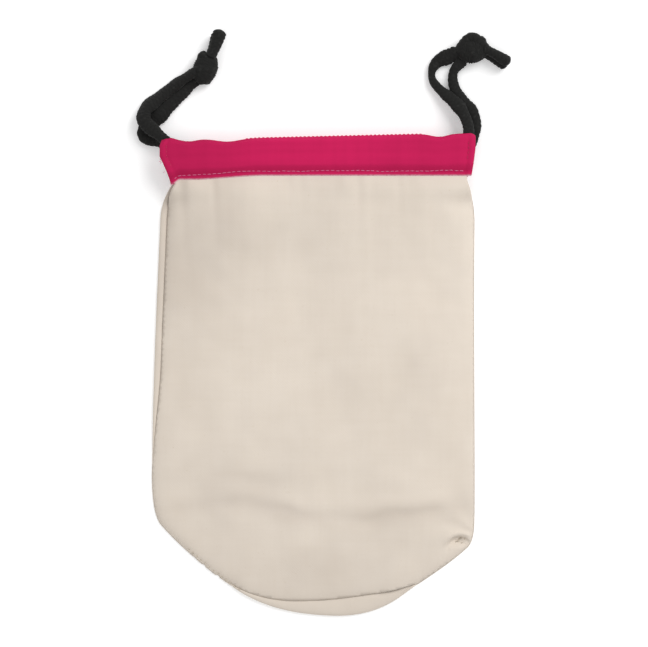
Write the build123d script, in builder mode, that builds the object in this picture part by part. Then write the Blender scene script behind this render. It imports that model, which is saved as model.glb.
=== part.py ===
from build123d import *
import os
from math import atan2, degrees, pi, radians, sin, tan

# A drawstring project bag for knitting: a flat calico pouch with a round end, a bright cotton casing round
# its mouth, and two drawcords, each knotted to itself at its own end of the casing.
# The bag lies on its back. +X runs across it to the right, +Y from the round end to the mouth and +Z up
# through its thickness. The origin is on the surface it lies on, under the middle of the pouch.
# All sizes are in millimetres.

CLOTH = 0.6  # one layer of calico or casing cotton, with its nap
HALF_WIDTH = 101.5
HALF_LENGTH = 150.0

# Casing: two flattened tunnels, one on each panel, with the mouth between them.
CASING_LEFT = -94.5
CASING_RIGHT = 100.0
CASING_HEIGHT = 25.5  # along Y, the flange included
FLANGE_WIDTH = 4.5  # the margin below the tunnel that is topstitched to the panel
TUNNEL_THICKNESS = 6.0  # along Z, outside
MOUTH_GAP = 5.8
INNER_LAYER_END = 72.0  # the layers that face each other stop here, so that the cords get out

# Drawcord: a knitted tube of cotton, which lies flattened while it is in a tunnel.
CORD_DIAMETER = 6.0
RUN_WIDTH = 6.8
RUN_THICKNESS = 4.0
RUN_END = 82.0  # where the flattened run ends and the round leg starts
UPPER_LANE = 141.6  # along Y, where the left drawcord lies in the tunnels
LOWER_LANE = 134.4  # and the right one
TAIL_DIAMETER = 5.4
KNOT_THICKNESS = 13.0
KNOT_ROUNDING = 5.5

# Pouch: the back panel lies flat and the front panel stands over it like a shallow pillow.
FRONT_TOP = 13.0
WALL_TAPER = 58.0  # degrees from upright
CORNER_ROUNDING = 12.0
LEFT_CORNER_Y = -85.5
RIGHT_CORNER_Y = -101.0
END_X = 5.0  # the lowest point of the round end is a little right of the middle
BACK_TOP_LEFT = -95.5
FRONT_TOP_LEFT = -89.5  # the back panel shows beyond the front one along the left side
FRONT_END_Y = -141.5  # and below it at the round end
SLIT_LENGTH = 9.5  # the side seams stop this far below the tunnels

# Sewing
SEAM_ALLOWANCE = 7.0
OVERLOCK_WIDTH = 1.2
STITCH_LENGTH = 2.6
STITCH_PITCH = 3.6
SEAM_PITCH = 5.5
THREAD_WIDTH = 0.5
THREAD_HEIGHT = 0.35
HEM_INSET = 4.0
HEM_STITCHES = 5

BAND_BOTTOM = HALF_LENGTH - CASING_HEIGHT
TUNNEL_BOTTOM = BAND_BOTTOM + FLANGE_WIDTH
TUNNEL_HEIGHT = HALF_LENGTH - TUNNEL_BOTTOM
TUNNEL_MIDDLE = HALF_LENGTH - TUNNEL_HEIGHT / 2
BACK_Z = TUNNEL_THICKNESS / 2
FRONT_Z = TUNNEL_THICKNESS + MOUTH_GAP + TUNNEL_THICKNESS / 2
MIDDLE_Z = (BACK_Z + FRONT_Z) / 2
FRONT_OUTSIDE = FRONT_Z + TUNNEL_THICKNESS / 2

# Routes of the four legs, from the tunnel's end to the knot.
LEFT_FRONT_LEG = [
    (-82.0, 141.6, 13.9),
    (-87.5, 143.2, 13.7),
    (-92.5, 147.0, 12.8),
    (-97.8, 151.8, 11.2),
    (-103.6, 156.4, 9.8),
    (-106.6, 160.8, 8.4),
    (-105.6, 165.8, 6.2),
    (-102.4, 169.9, 4.2),
    (-95.2, 175.5, 3.1),
    (-90.6, 179.0, 3.1),
    (-86.2, 182.4, 4.0),
    (-80.4, 186.2, 6.6),
    (-72.0, 191.4, 8.4),
]
LEFT_BACK_LEG = [
    (-82.0, 141.6, 4.2),
    (-89.5, 143.6, 4.2),
    (-96.5, 146.6, 3.8),
    (-102.0, 147.7, 3.1),
    (-106.9, 150.4, 3.05),
    (-105.8, 155.4, 3.05),
    (-100.8, 159.0, 3.05),
    (-97.0, 162.6, 3.05),
    (-93.2, 167.0, 3.05),
    (-88.9, 171.2, 3.05),
    (-84.5, 175.6, 3.05),
    (-80.6, 179.2, 3.05),
    (-76.4, 182.8, 3.2),
    (-71.2, 186.2, 4.2),
]
RIGHT_FRONT_LEG = [
    (82.0, 134.4, 13.9),
    (89.0, 135.6, 13.9),
    (94.0, 140.2, 13.6),
    (96.8, 146.6, 12.6),
    (97.6, 154.0, 10.9),
    (95.6, 161.2, 9.0),
    (91.6, 168.2, 7.6),
    (85.6, 174.3, 5.6),
    (79.2, 179.6, 3.6),
    (74.4, 185.6, 3.05),
    (74.6, 192.6, 3.05),
    (78.6, 197.6, 3.3),
    (84.8, 199.8, 4.4),
    (91.5, 203.2, 6.6),
]
RIGHT_BACK_LEG = [
    (82.0, 134.4, 4.2),
    (91.0, 135.4, 4.2),
    (96.8, 141.0, 4.0),
    (100.0, 149.0, 3.4),
    (102.0, 156.2, 3.05),
    (101.0, 162.4, 3.05),
    (97.2, 168.4, 3.05),
    (92.2, 174.2, 3.05),
    (88.6, 180.6, 3.05),
    (87.4, 187.2, 3.2),
    (89.0, 193.4, 4.0),
    (95.5, 198.4, 5.0),
]
# The cut tails, two from each knot, lie one on the other.
LEFT_TAIL = [(-66.0, 197.5), (-61.8, 204.5), (-58.4, 214.0)]
RIGHT_TAIL = [(105.5, 205.4), (113.0, 202.0), (120.8, 197.3)]
TAIL_BACK_Z = 2.75
TAIL_FRONT_Z = 8.4
LEFT_KNOT = (-67.6, 193.4)
LEFT_KNOT_SIZE = (21.0, 15.5)
LEFT_KNOT_ANGLE = 62.0
RIGHT_KNOT = (100.0, 204.6)
RIGHT_KNOT_SIZE = (22.0, 18.0)
RIGHT_KNOT_ANGLE = 20.0


def save(builder, name):
    """Label one finished piece and write it to its own STEP file."""
    builder.part.label = name
    export_step(builder.part, f"parts/{name}.step")


def panel_edges(top_left_x, top_y, end_y, inset=0.0):
    """The outline of one panel, with a straight top, two sides and a round end."""
    low_left = (-HALF_WIDTH, LEFT_CORNER_Y)
    low_right = (HALF_WIDTH, RIGHT_CORNER_Y)
    with BuildSketch() as panel:
        with BuildLine():
            Line((top_left_x, top_y), low_left)
            ThreePointArc(low_left, (END_X, end_y), low_right)
            Line(low_right, (HALF_WIDTH, top_y))
            Line((HALF_WIDTH, top_y), (top_left_x, top_y))
        make_face()
        fillet(panel.vertices().sort_by(Axis.Y)[:2], CORNER_ROUNDING)
        if inset > 0:
            offset(amount=-inset)
    return panel.sketch.face().outer_wire().edges()


def front_edges(inset=0.0):
    """The front panel's outline. Its top is inside the casing's flange."""
    return panel_edges(FRONT_TOP_LEFT, TUNNEL_BOTTOM + inset, FRONT_END_Y, inset)


def stitch_row(places, z, length=STITCH_LENGTH):
    """Lay one stitch at each (x, y, direction in degrees) in the open part."""
    middle = z + THREAD_HEIGHT / 2
    with Locations(*[Location((x, y, middle), (0, 0, angle)) for x, y, angle in places]):
        Box(length, THREAD_WIDTH, THREAD_HEIGHT)


def make_back_panel():
    with BuildPart() as back_panel:
        with BuildSketch():
            make_face(panel_edges(BACK_TOP_LEFT, BAND_BOTTOM, -HALF_LENGTH))
        extrude(amount=CLOTH)
    save(back_panel, "back_panel")


def pillow(edges, top):
    """A low pillow over an outline, standing on the back panel, with sloping sides."""
    with BuildPart() as body:
        with BuildSketch(Plane.XY.offset(CLOTH)):
            make_face(edges)
        extrude(amount=top - CLOTH, taper=WALL_TAPER)
    return body.part


def make_front_panel():
    # The pillow is made longer than the panel and cut off square, because its sides slope and its mouth
    # doesn't.
    overrun = 60.0
    wall_inset = CLOTH / sin(radians(90 - WALL_TAPER))
    long_top = TUNNEL_BOTTOM + overrun
    outside = pillow(panel_edges(FRONT_TOP_LEFT, long_top, FRONT_END_Y), FRONT_TOP)
    inside = pillow(panel_edges(FRONT_TOP_LEFT, long_top, FRONT_END_Y, wall_inset), FRONT_TOP - CLOTH)
    with BuildPart() as front_panel:
        add(outside)
        add(inside, mode=Mode.SUBTRACT)
        # the seam allowance, turned in and lying on the back panel
        allowance_edge = panel_edges(FRONT_TOP_LEFT, long_top, FRONT_END_Y, SEAM_ALLOWANCE)
        with BuildSketch(Plane.XY.offset(CLOTH)):
            make_face(panel_edges(FRONT_TOP_LEFT, long_top, FRONT_END_Y))
            make_face(allowance_edge, mode=Mode.SUBTRACT)
        extrude(amount=CLOTH)
        with Locations((0, TUNNEL_BOTTOM + overrun, 0)):
            Box(3 * HALF_WIDTH, 2 * overrun, 3 * FRONT_TOP, mode=Mode.SUBTRACT)
        # the slits, where the side seams stop short of the casing
        slit_top = FRONT_TOP - 2 * CLOTH
        with Locations((0, TUNNEL_BOTTOM, slit_top / 2)):
            Box(3 * HALF_WIDTH, 2 * SLIT_LENGTH, slit_top, mode=Mode.SUBTRACT)
    save(front_panel, "front_panel")


def tunnel_section(z):
    """Draw a flattened tunnel's section, walls and hollow, in the open YZ sketch."""
    with Locations((TUNNEL_MIDDLE, z)):
        RectangleRounded(TUNNEL_HEIGHT, TUNNEL_THICKNESS, TUNNEL_THICKNESS / 2 - 0.1)
        RectangleRounded(
            TUNNEL_HEIGHT - 2 * CLOTH,
            TUNNEL_THICKNESS - 2 * CLOTH,
            TUNNEL_THICKNESS / 2 - CLOTH - 0.1,
            mode=Mode.SUBTRACT,
        )


def cut_corners(low_z, high_z):
    """Cut the inner layer and the fold away at both ends of the open casing, between two heights."""
    low_y = TUNNEL_BOTTOM + 2 * CLOTH
    for outer, inner in ((CASING_LEFT, -INNER_LAYER_END), (CASING_RIGHT, INNER_LAYER_END)):
        length = abs(outer - inner) + 1
        middle = inner + (length / 2 if outer > inner else -length / 2)
        with Locations((middle, (low_y + HALF_LENGTH + 1) / 2, (low_z + high_z) / 2)):
            Box(length, HALF_LENGTH + 1 - low_y, high_z - low_z, mode=Mode.SUBTRACT)


def make_front_casing():
    with BuildPart() as front_casing:
        with BuildSketch(Plane.YZ.offset(CASING_LEFT)):
            tunnel_section(FRONT_Z)
            # the flange laps over the front panel and reaches up to the tunnel's wall
            with Locations((BAND_BOTTOM + (FLANGE_WIDTH + CLOTH) / 2, FRONT_TOP + CLOTH / 2)):
                Rectangle(FLANGE_WIDTH + CLOTH, CLOTH)
        extrude(amount=CASING_RIGHT - CASING_LEFT)
        cut_corners(FRONT_Z - TUNNEL_THICKNESS, FRONT_OUTSIDE - CLOTH)
    save(front_casing, "front_casing")


def make_back_casing():
    with BuildPart() as back_casing:
        with BuildSketch(Plane.YZ.offset(CASING_LEFT)):
            tunnel_section(BACK_Z)
            # the outer layer meets the back panel's edge, and the inner one laps over it
            with Locations((BAND_BOTTOM + (FLANGE_WIDTH + 3) / 2, CLOTH / 2)):
                Rectangle(FLANGE_WIDTH + 3, CLOTH)
            with Locations((BAND_BOTTOM + CLOTH / 2, 1.5 * CLOTH)):
                Rectangle(2 * FLANGE_WIDTH + CLOTH, CLOTH)
        extrude(amount=CASING_RIGHT - CASING_LEFT)
        cut_corners(CLOTH, TUNNEL_THICKNESS + 1)
    save(back_casing, "back_casing")


def make_topstitches():
    """One row of straight stitches on each casing's flange, from end to end."""
    count = int((CASING_RIGHT - CASING_LEFT - 2 * HEM_INSET) // STITCH_PITCH)
    start = (CASING_LEFT + CASING_RIGHT - (count - 1) * STITCH_PITCH) / 2
    rows = {
        "front_topstitch": (BAND_BOTTOM + 2.5, FRONT_TOP + CLOTH),
        "back_topstitch": (BAND_BOTTOM - 2.5, 2 * CLOTH),
    }
    for name, (y, z) in rows.items():
        with BuildPart() as topstitch:
            stitch_row([(start + i * STITCH_PITCH, y, 0) for i in range(count)], z)
        save(topstitch, name)


def make_end_hems():
    """A short row of stitches across each casing end, which holds its raw edge turned in."""
    pitch = (TUNNEL_HEIGHT - TUNNEL_THICKNESS) / HEM_STITCHES
    first = TUNNEL_MIDDLE - pitch * (HEM_STITCHES - 1) / 2
    for side, x in (("left", CASING_LEFT + HEM_INSET), ("right", CASING_RIGHT - HEM_INSET)):
        for layer, z in (("front", FRONT_OUTSIDE), ("back", CLOTH)):
            with BuildPart() as hem:
                stitch_row([(x, first + i * pitch, 90) for i in range(HEM_STITCHES)], z, 0.7 * pitch)
            save(hem, f"{layer}_casing_{side}_hem")


def make_closing_seam():
    """The stitches that close both sides and the round end, on the turned-in allowance."""
    places = []
    side_end = TUNNEL_BOTTOM - SLIT_LENGTH - STITCH_LENGTH
    for edge in front_edges(SEAM_ALLOWANCE / 2 + 2).sort_by(Axis.Y)[:-1]:
        count = int(edge.length // SEAM_PITCH)
        for i in range(count):
            at = (i + 0.5) / count
            spot = edge.position_at(at)
            way = edge.tangent_at(at)
            if spot.Y < side_end:
                places.append((spot.X, spot.Y, degrees(atan2(way.Y, way.X))))
    with BuildPart() as closing_seam:
        stitch_row(places, 2 * CLOTH)
    save(closing_seam, "closing_seam_thread")


def make_overlock():
    """The overlock thread, which binds the raw edge of the seam allowance."""
    with BuildPart() as overlock:
        with BuildSketch(Plane.XY.offset(CLOTH)):
            make_face(front_edges(SEAM_ALLOWANCE))
            make_face(front_edges(SEAM_ALLOWANCE + OVERLOCK_WIDTH), mode=Mode.SUBTRACT)
            with Locations((0, TUNNEL_BOTTOM)):
                Rectangle(3 * HALF_WIDTH, 2 * SLIT_LENGTH + 1, mode=Mode.SUBTRACT)
        extrude(amount=2 * CLOTH)
    save(overlock, "overlock_thread")


def corner_radii(points):
    """The largest arc that each corner's two runs allow."""
    corners = [Vector(*point) for point in points]
    radii = []
    for before, corner, after in zip(corners, corners[1:], corners[2:]):
        turn = (corner - before).get_angle(after - corner)
        shorter = min((corner - before).length, (after - corner).length)
        radii.append(0.45 * shorter / tan(radians(turn / 2)))
    return radii


def make_cord(name, points, diameter):
    """A round stretch of cord: straight runs joined by tangent arcs."""
    radii = corner_radii(points)
    with BuildPart() as cord:
        with BuildLine() as route:
            FilletPolyline(*points, radius=radii)
        with BuildSketch(Plane(origin=route.line @ 0, z_dir=route.line % 0)):
            Circle(diameter / 2)
        sweep()
    length = route.wires()[0].length
    share = cord.part.volume / (pi * diameter**2 / 4 * length)
    smallest = round(min(radii), 1)
    print(name, "length", round(length, 1), "volume share", round(share, 4), "smallest arc", smallest)
    save(cord, name)


def make_runs(side, lane, start, end):
    """The flattened stretches of one drawcord in the two tunnels."""
    for layer, z in (("front", FRONT_Z), ("back", BACK_Z)):
        with BuildPart() as run:
            with BuildSketch(Plane.YZ.offset(start)):
                with Locations((lane, z)):
                    SlotOverall(RUN_WIDTH, RUN_THICKNESS)
            extrude(amount=end - start)
        save(run, f"{side}_drawcord_{layer}_run")


def make_far_turn(side, lane, way):
    """The bend where a drawcord passes from one tunnel to the other, at the end away from its knot."""
    x = way * INNER_LAYER_END
    with BuildPart() as turn:
        with BuildSketch(Plane(origin=(x, lane, FRONT_Z), x_dir=(0, 1, 0), z_dir=(1, 0, 0))):
            SlotOverall(RUN_WIDTH, RUN_THICKNESS)
        revolve(axis=Axis((x, lane, MIDDLE_Z), (0, way, 0)), revolution_arc=180)
    save(turn, f"{side}_drawcord_far_turn")


def make_knot(side, centre, size, angle):
    """An overhand knot tied in both legs at once, as a rounded lump."""
    with BuildPart() as knot:
        with BuildSketch():
            with Locations(Location((centre[0], centre[1], 0), (0, 0, angle))):
                SlotOverall(*size)
        extrude(amount=KNOT_THICKNESS)
        fillet(knot.faces().filter_by(Axis.Z).edges(), KNOT_ROUNDING)
    save(knot, f"{side}_knot")


def make_tails(side, points):
    """The two cut ends past a knot, one lying on the other."""
    for layer, z in (("front", TAIL_FRONT_Z), ("back", TAIL_BACK_Z)):
        make_cord(f"{side}_{layer}_tail", [(x, y, z) for x, y in points], TAIL_DIAMETER)


os.makedirs("parts", exist_ok=True)
make_back_panel()
make_front_panel()
make_front_casing()
make_back_casing()
make_topstitches()
make_end_hems()
make_closing_seam()
make_overlock()
make_runs("left", UPPER_LANE, -RUN_END, INNER_LAYER_END)
make_runs("right", LOWER_LANE, -INNER_LAYER_END, RUN_END)
make_far_turn("left", UPPER_LANE, 1)
make_far_turn("right", LOWER_LANE, -1)
make_cord("left_drawcord_front_leg", LEFT_FRONT_LEG, CORD_DIAMETER)
make_cord("left_drawcord_back_leg", LEFT_BACK_LEG, CORD_DIAMETER)
make_cord("right_drawcord_front_leg", RIGHT_FRONT_LEG, CORD_DIAMETER)
make_cord("right_drawcord_back_leg", RIGHT_BACK_LEG, CORD_DIAMETER)
make_knot("left", LEFT_KNOT, LEFT_KNOT_SIZE, LEFT_KNOT_ANGLE)
make_knot("right", RIGHT_KNOT, RIGHT_KNOT_SIZE, RIGHT_KNOT_ANGLE)
make_tails("left", LEFT_TAIL)
make_tails("right", RIGHT_TAIL)
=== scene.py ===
import math
import random

import bmesh
import bpy
import numpy as np
from bpy.props import FloatProperty, IntProperty, PointerProperty, StringProperty
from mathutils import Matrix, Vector, noise
from mathutils.geometry import delaunay_2d_cdt


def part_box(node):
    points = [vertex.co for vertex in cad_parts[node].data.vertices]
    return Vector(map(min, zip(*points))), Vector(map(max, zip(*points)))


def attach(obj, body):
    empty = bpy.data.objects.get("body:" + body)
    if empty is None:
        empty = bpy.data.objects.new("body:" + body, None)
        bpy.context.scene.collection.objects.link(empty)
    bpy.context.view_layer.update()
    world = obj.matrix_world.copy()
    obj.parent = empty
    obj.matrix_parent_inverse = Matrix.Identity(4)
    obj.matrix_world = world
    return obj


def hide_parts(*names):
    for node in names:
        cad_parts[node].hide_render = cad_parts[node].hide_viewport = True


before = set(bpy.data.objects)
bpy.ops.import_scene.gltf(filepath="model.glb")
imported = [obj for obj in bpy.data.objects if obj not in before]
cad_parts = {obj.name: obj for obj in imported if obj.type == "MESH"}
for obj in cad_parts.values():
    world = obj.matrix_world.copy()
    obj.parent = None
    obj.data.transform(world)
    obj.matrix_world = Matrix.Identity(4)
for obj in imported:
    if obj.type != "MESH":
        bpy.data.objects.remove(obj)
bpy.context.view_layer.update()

bl_info = {
    "name": "Calico drawstring project bag",
    "version": (1, 0, 0),
    "blender": (4, 5, 0),
    "location": "View3D > Sidebar > Project Bag",
    "description": "Makes a flat calico drawstring bag with a bright casing and two knotted cords",
    "category": "Object",
}

# Lengths are in millimetres until a mesh or a curve is made, and routes of cords are in metres.
MM = 0.001


def node_box(node):
    """A CAD node's lowest and highest corner, in millimetres."""
    low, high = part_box(node)
    return np.array(low) / MM, np.array(high) / MM


CASING_LOW, CASING_HIGH = node_box("front_casing")
FRONT_RUN_LOW, FRONT_RUN_HIGH = node_box("left_drawcord_front_run")
FRONT_RUN_Z = float(FRONT_RUN_LOW[2] + FRONT_RUN_HIGH[2]) / 2
BACK_RUN_Z = float(sum(box[2] for box in node_box("left_drawcord_back_run"))) / 2

# ---------------------------------------------------------------------------------------------------------
# Routes of the four legs, from the tunnel's end to the knot, and of the knots and tails past them.

LEG_ROUTES = {
    "left_front": [
        (-0.0820, 0.1416, 0.0139), (-0.0875, 0.1432, 0.0137), (-0.0925, 0.1470, 0.0128),
        (-0.0978, 0.1518, 0.0112), (-0.1036, 0.1564, 0.0098), (-0.1066, 0.1608, 0.0084),
        (-0.1056, 0.1658, 0.0062), (-0.1024, 0.1699, 0.0042), (-0.0952, 0.1755, 0.0031),
        (-0.0906, 0.1790, 0.0031), (-0.0862, 0.1824, 0.004), (-0.0804, 0.1862, 0.0066),
        (-0.0720, 0.1914, 0.0084),
    ],
    "left_back": [
        (-0.0820, 0.1416, 0.0042), (-0.0895, 0.1436, 0.0042), (-0.0965, 0.1466, 0.0038),
        (-0.1020, 0.1477, 0.0031), (-0.1069, 0.1504, 0.00305), (-0.1058, 0.1554, 0.00305),
        (-0.1008, 0.1590, 0.00305), (-0.0970, 0.1626, 0.00305), (-0.0932, 0.1670, 0.00305),
        (-0.0889, 0.1712, 0.00305), (-0.0845, 0.1756, 0.00305), (-0.0806, 0.1792, 0.00305),
        (-0.0764, 0.1828, 0.0032), (-0.0712, 0.1862, 0.0042),
    ],
    "right_front": [
        (0.0820, 0.1344, 0.0139), (0.0890, 0.1356, 0.0139), (0.0940, 0.1402, 0.0136),
        (0.0968, 0.1466, 0.0126), (0.0976, 0.1540, 0.0109), (0.0956, 0.1612, 0.009),
        (0.0916, 0.1682, 0.0076), (0.0856, 0.1743, 0.0056), (0.0792, 0.1796, 0.0036),
        (0.0744, 0.1856, 0.00305), (0.0746, 0.1926, 0.00305), (0.0786, 0.1976, 0.0033),
        (0.0848, 0.1998, 0.0044), (0.0915, 0.2032, 0.0066),
    ],
    "right_back": [
        (0.0820, 0.1344, 0.0042), (0.0910, 0.1354, 0.0042), (0.0968, 0.1410, 0.004),
        (0.1000, 0.1490, 0.0034), (0.1020, 0.1562, 0.00305), (0.1010, 0.1624, 0.00305),
        (0.0972, 0.1684, 0.00305), (0.0922, 0.1742, 0.00305), (0.0886, 0.1806, 0.00305),
        (0.0874, 0.1872, 0.0032), (0.0890, 0.1934, 0.004), (0.0955, 0.1984, 0.005),
    ],
}
# each leg's half width in millimetres, by share of its length: the soft cord is squeezed and let go
LEG_SWELL = {
    "left_front": [(0.0, 3.1), (0.2, 3.7), (0.38, 4.7), (0.56, 5.1), (0.72, 4.6), (0.86, 3.7), (1.0, 3.2)],
    "left_back": [(0.0, 3.1), (0.3, 3.8), (0.46, 4.8), (0.6, 5.0), (0.76, 4.5), (0.9, 3.7), (1.0, 3.2)],
    "right_front": [
        (0.0, 3.1), (0.35, 3.6), (0.5, 4.4), (0.57, 4.0), (0.66, 2.6), (0.76, 2.4), (0.84, 3.9), (0.91, 5.0),
        (1.0, 5.0),
    ],
    "right_back": [(0.0, 3.1), (0.35, 4.0), (0.52, 4.5), (0.66, 3.9), (0.8, 2.9), (0.92, 3.3), (1.0, 3.8)],
}
# each knot: centre, half length and half width in millimetres, its long axis in degrees and its turns
KNOTS = {
    "left": ((-67.4, 192.5), 11.4, 7.8, 73.0, 1.7),
    "right": ((99.9, 204.0), 10.8, 8.5, 12.0, 1.7),
}
# the right knot's last turn stands up over its middle in a point
RIGHT_KNOT_BIGHT = [
    (0.0905, 0.2010, 0.0056), (0.0930, 0.2060, 0.0074), (0.0992, 0.2126, 0.0086), (0.1050, 0.2080, 0.0084),
    (0.1082, 0.2040, 0.0074), (0.1084, 0.2005, 0.0060),
]
TAIL_ROUTES = {
    "left": [(-0.0650, 0.1985, 0.0), (-0.0624, 0.2035, 0.0), (-0.0603, 0.2095, 0.0), (-0.0585, 0.2158, 0.0)],
    "right": [(0.1065, 0.2040, 0.0), (0.1120, 0.2012, 0.0), (0.1170, 0.1982, 0.0), (0.1226, 0.1948, 0.0)],
}
TAIL_HEIGHTS = {"front": 0.0086, "back": 0.0040}
# the tails' width over the cord's, at the knot and at the frayed end
TAIL_FLARES = {"left": (1.12, 1.43), "right": (0.95, 1.2)}

# ---------------------------------------------------------------------------------------------------------
# Outlines of the cloth, in millimetres.

# The pouch's outside edge as Bezier curves, from the left slit round the end to the right slit: a corner
# where two curves meet, two handles, the next corner, and so on.
POUCH_CURVES = [
    (-88.0, 121.0), (-92.5, 114.0), (-95.5, 108.0),
    (-96.0, 98.0), (-97.5, 62.0), (-101.0, -8.0),
    (-101.2, -60.0), (-101.2, -78.0), (-99.5, -89.0),
    (-95.5, -94.0), (-82.0, -109.5), (-56.0, -131.5),
    (-40.0, -139.6), (-24.0, -147.8), (-6.0, -151.0),
    (16.0, -151.3), (34.0, -151.0), (47.0, -146.0),
    (60.0, -135.5), (72.0, -127.0), (86.0, -118.5),
    (97.5, -107.8), (100.0, -104.8), (101.2, -99.0),
    (101.2, -93.0), (102.0, -70.0), (100.6, 20.0),
    (101.4, 96.0), (101.4, 106.0), (99.5, 114.0),
    (96.6, 121.5),
]
# how far the back panel shows past the front one under the round end, by x, in the same form
CRESCENT_CURVES = [
    (-62.0, 0.0), (-40.0, 1.5), (2.0, 10.8),
    (24.0, 11.3), (46.0, 11.6), (56.0, 5.0),
    (66.0, 0.0),
]
# the old fold across the pouch, from left to right, in the same form
OLD_FOLD_CURVES = [
    (-101.0, -86.0), (-80.0, -86.0), (-62.0, -79.0),
    (-46.0, -79.5), (-28.0, -80.5), (-14.0, -90.3),
    (17.0, -90.3), (45.0, -90.3), (75.0, -84.5),
    (101.0, -83.0),
]
# the tuck at the crescent's right end
TUCK_START, TUCK_END = (63.0, -130.6), (55.4, -138.4)
# the band's fold line rises evenly from left to right, with soft dips: their x, height and reach
FOLD_LEFT_Y = 146.6
FOLD_SLOPE = 0.0232
FOLD_DIPS = ((-89.0, 1.5, 4.0), (-76.5, -1.1, 5.0), (-53.0, -1.8, 9.5), (78.5, -1.8, 6.5))
# its lower edge is straight, bends down towards the left end and drops at the corner
LOWER_EDGE_Y = 125.3
LOWER_EDGE_BEND = 2.5
LOWER_EDGE_DROP = 3.3
# its ends lean outward from the lower corners
BAND_LEFT, BAND_LEFT_LEAN = -88.6, 6.6
BAND_RIGHT, BAND_RIGHT_LEAN = 98.9, 2.1
LEAN_HEIGHT = 0.62  # the share of the band's height over which they lean

SEAM_HEIGHT = 2.7
SEAM_ALLOWANCE = 7.0
ALLOWANCE_HEIGHT = 1.5
FLOOR_CLEARANCE = 0.4
FRONT_FLANGE = float(CASING_LOW[2]) + 1.5
FLANGE_DEPTH = 0.6  # from the flange's middle to the panel's, across both layers of cloth
BACK_FLANGE = 0.55
BAND_COLUMNS = 260
INNER_LEFT = -79.0
INNER_RIGHT = 80.0
RUN_HALF_WIDTH = float(FRONT_RUN_HIGH[1] - FRONT_RUN_LOW[1]) / 2 - 0.2
RUN_SHIFTS = {"left": -1.0, "right": 0.3}  # how far each cord creeps to the tunnels' middle between its ends
KNOT_HEIGHT = 6.4
REST_HEIGHT = 0.05  # the lowest that a cord's surface comes
RUN_HALF_HEIGHT = 1.75
CORD_STEP = 0.4
BRAID_LAY = 11.0  # length of cord in which a strand winds once round it


def hex_to_linear(code):
    """A linear RGBA colour from an sRGB hex code such as "#c42b5b"."""
    values = [int(code[i : i + 2], 16) / 255 for i in (1, 3, 5)]
    return tuple(v / 12.92 if v <= 0.04045 else ((v + 0.055) / 1.055) ** 2.4 for v in values) + (1.0,)


# ---------------------------------------------------------------------------------------------------------
# Sizes and colours that a user would change


class BagSizes(bpy.types.PropertyGroup):
    """Sizes of the bag's cloth, thread and cord."""

    calico_thickness: FloatProperty(
        name="Calico thickness",
        description="One layer of calico with its nap",
        default=0.00045,
        unit="LENGTH",
    )
    band_thickness: FloatProperty(
        name="Casing thickness", description="One layer of casing cotton", default=0.0005, unit="LENGTH"
    )
    cord_diameter: FloatProperty(
        name="Cord diameter", description="Drawcord where it lies free", default=0.006, unit="LENGTH"
    )
    stitch_length: FloatProperty(
        name="Topstitch length", description="One topstitch, without its gap", default=0.0023, unit="LENGTH"
    )
    stitch_pitch: FloatProperty(
        name="Topstitch pitch", description="From one topstitch to the next", default=0.0031, unit="LENGTH"
    )
    thread_width: FloatProperty(
        name="Thread width",
        description="Sewing thread as it lies on the cloth",
        default=0.0005,
        unit="LENGTH",
    )
    cloth_grid: FloatProperty(
        name="Cloth grid", description="Distance between the cloth's vertices", default=0.0022, unit="LENGTH"
    )
    braid_strands: IntProperty(
        name="Cord strands", description="Strands that wind each way round the drawcord", default=4, min=2
    )


class BagColours(bpy.types.PropertyGroup):
    """Colours of the bag's materials, as sRGB hex codes."""

    calico: StringProperty(name="Calico", description="Unbleached cotton", default="#e3d8cb")
    calico_fleck: StringProperty(name="Calico fleck", description="Seed flecks and slubs", default="#bfae98")
    casing: StringProperty(name="Casing", description="Dyed casing cotton", default="#cb1e59")
    casing_edge: StringProperty(name="Casing edge", description="Paler frayed edge", default="#eeb4c4")
    topstitch: StringProperty(name="Topstitch", description="Thread on the casing", default="#e573a0")
    seam_thread: StringProperty(
        name="Seam thread", description="Thread in the pouch's seams", default="#d9cdbb"
    )
    cord: StringProperty(name="Drawcord", description="Black cotton cord", default="#232322")
    floor: StringProperty(name="Floor", description="Pale surface under the bag", default="#f9f9f9")


# ---------------------------------------------------------------------------------------------------------
# Materials


def add_node(tree, kind, settings=None, links=None):
    """Add a node, set its inputs or properties, and link sockets into its inputs."""
    node = tree.nodes.new(kind)
    for name, value in (settings or {}).items():
        if isinstance(name, int) or name in node.inputs:
            node.inputs[name].default_value = value
        else:
            setattr(node, name, value)
    for name, socket in (links or {}).items():
        tree.links.new(socket, node.inputs[name])
    return node


def new_material(name):
    """An empty node material with an output and a Principled shader."""
    material = bpy.data.materials.get(name) or bpy.data.materials.new(name)
    material.use_nodes = True
    tree = material.node_tree
    tree.nodes.clear()
    shader = add_node(tree, "ShaderNodeBsdfPrincipled")
    add_node(tree, "ShaderNodeOutputMaterial", links={"Surface": shader.outputs["BSDF"]})
    return material, tree, shader


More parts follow.
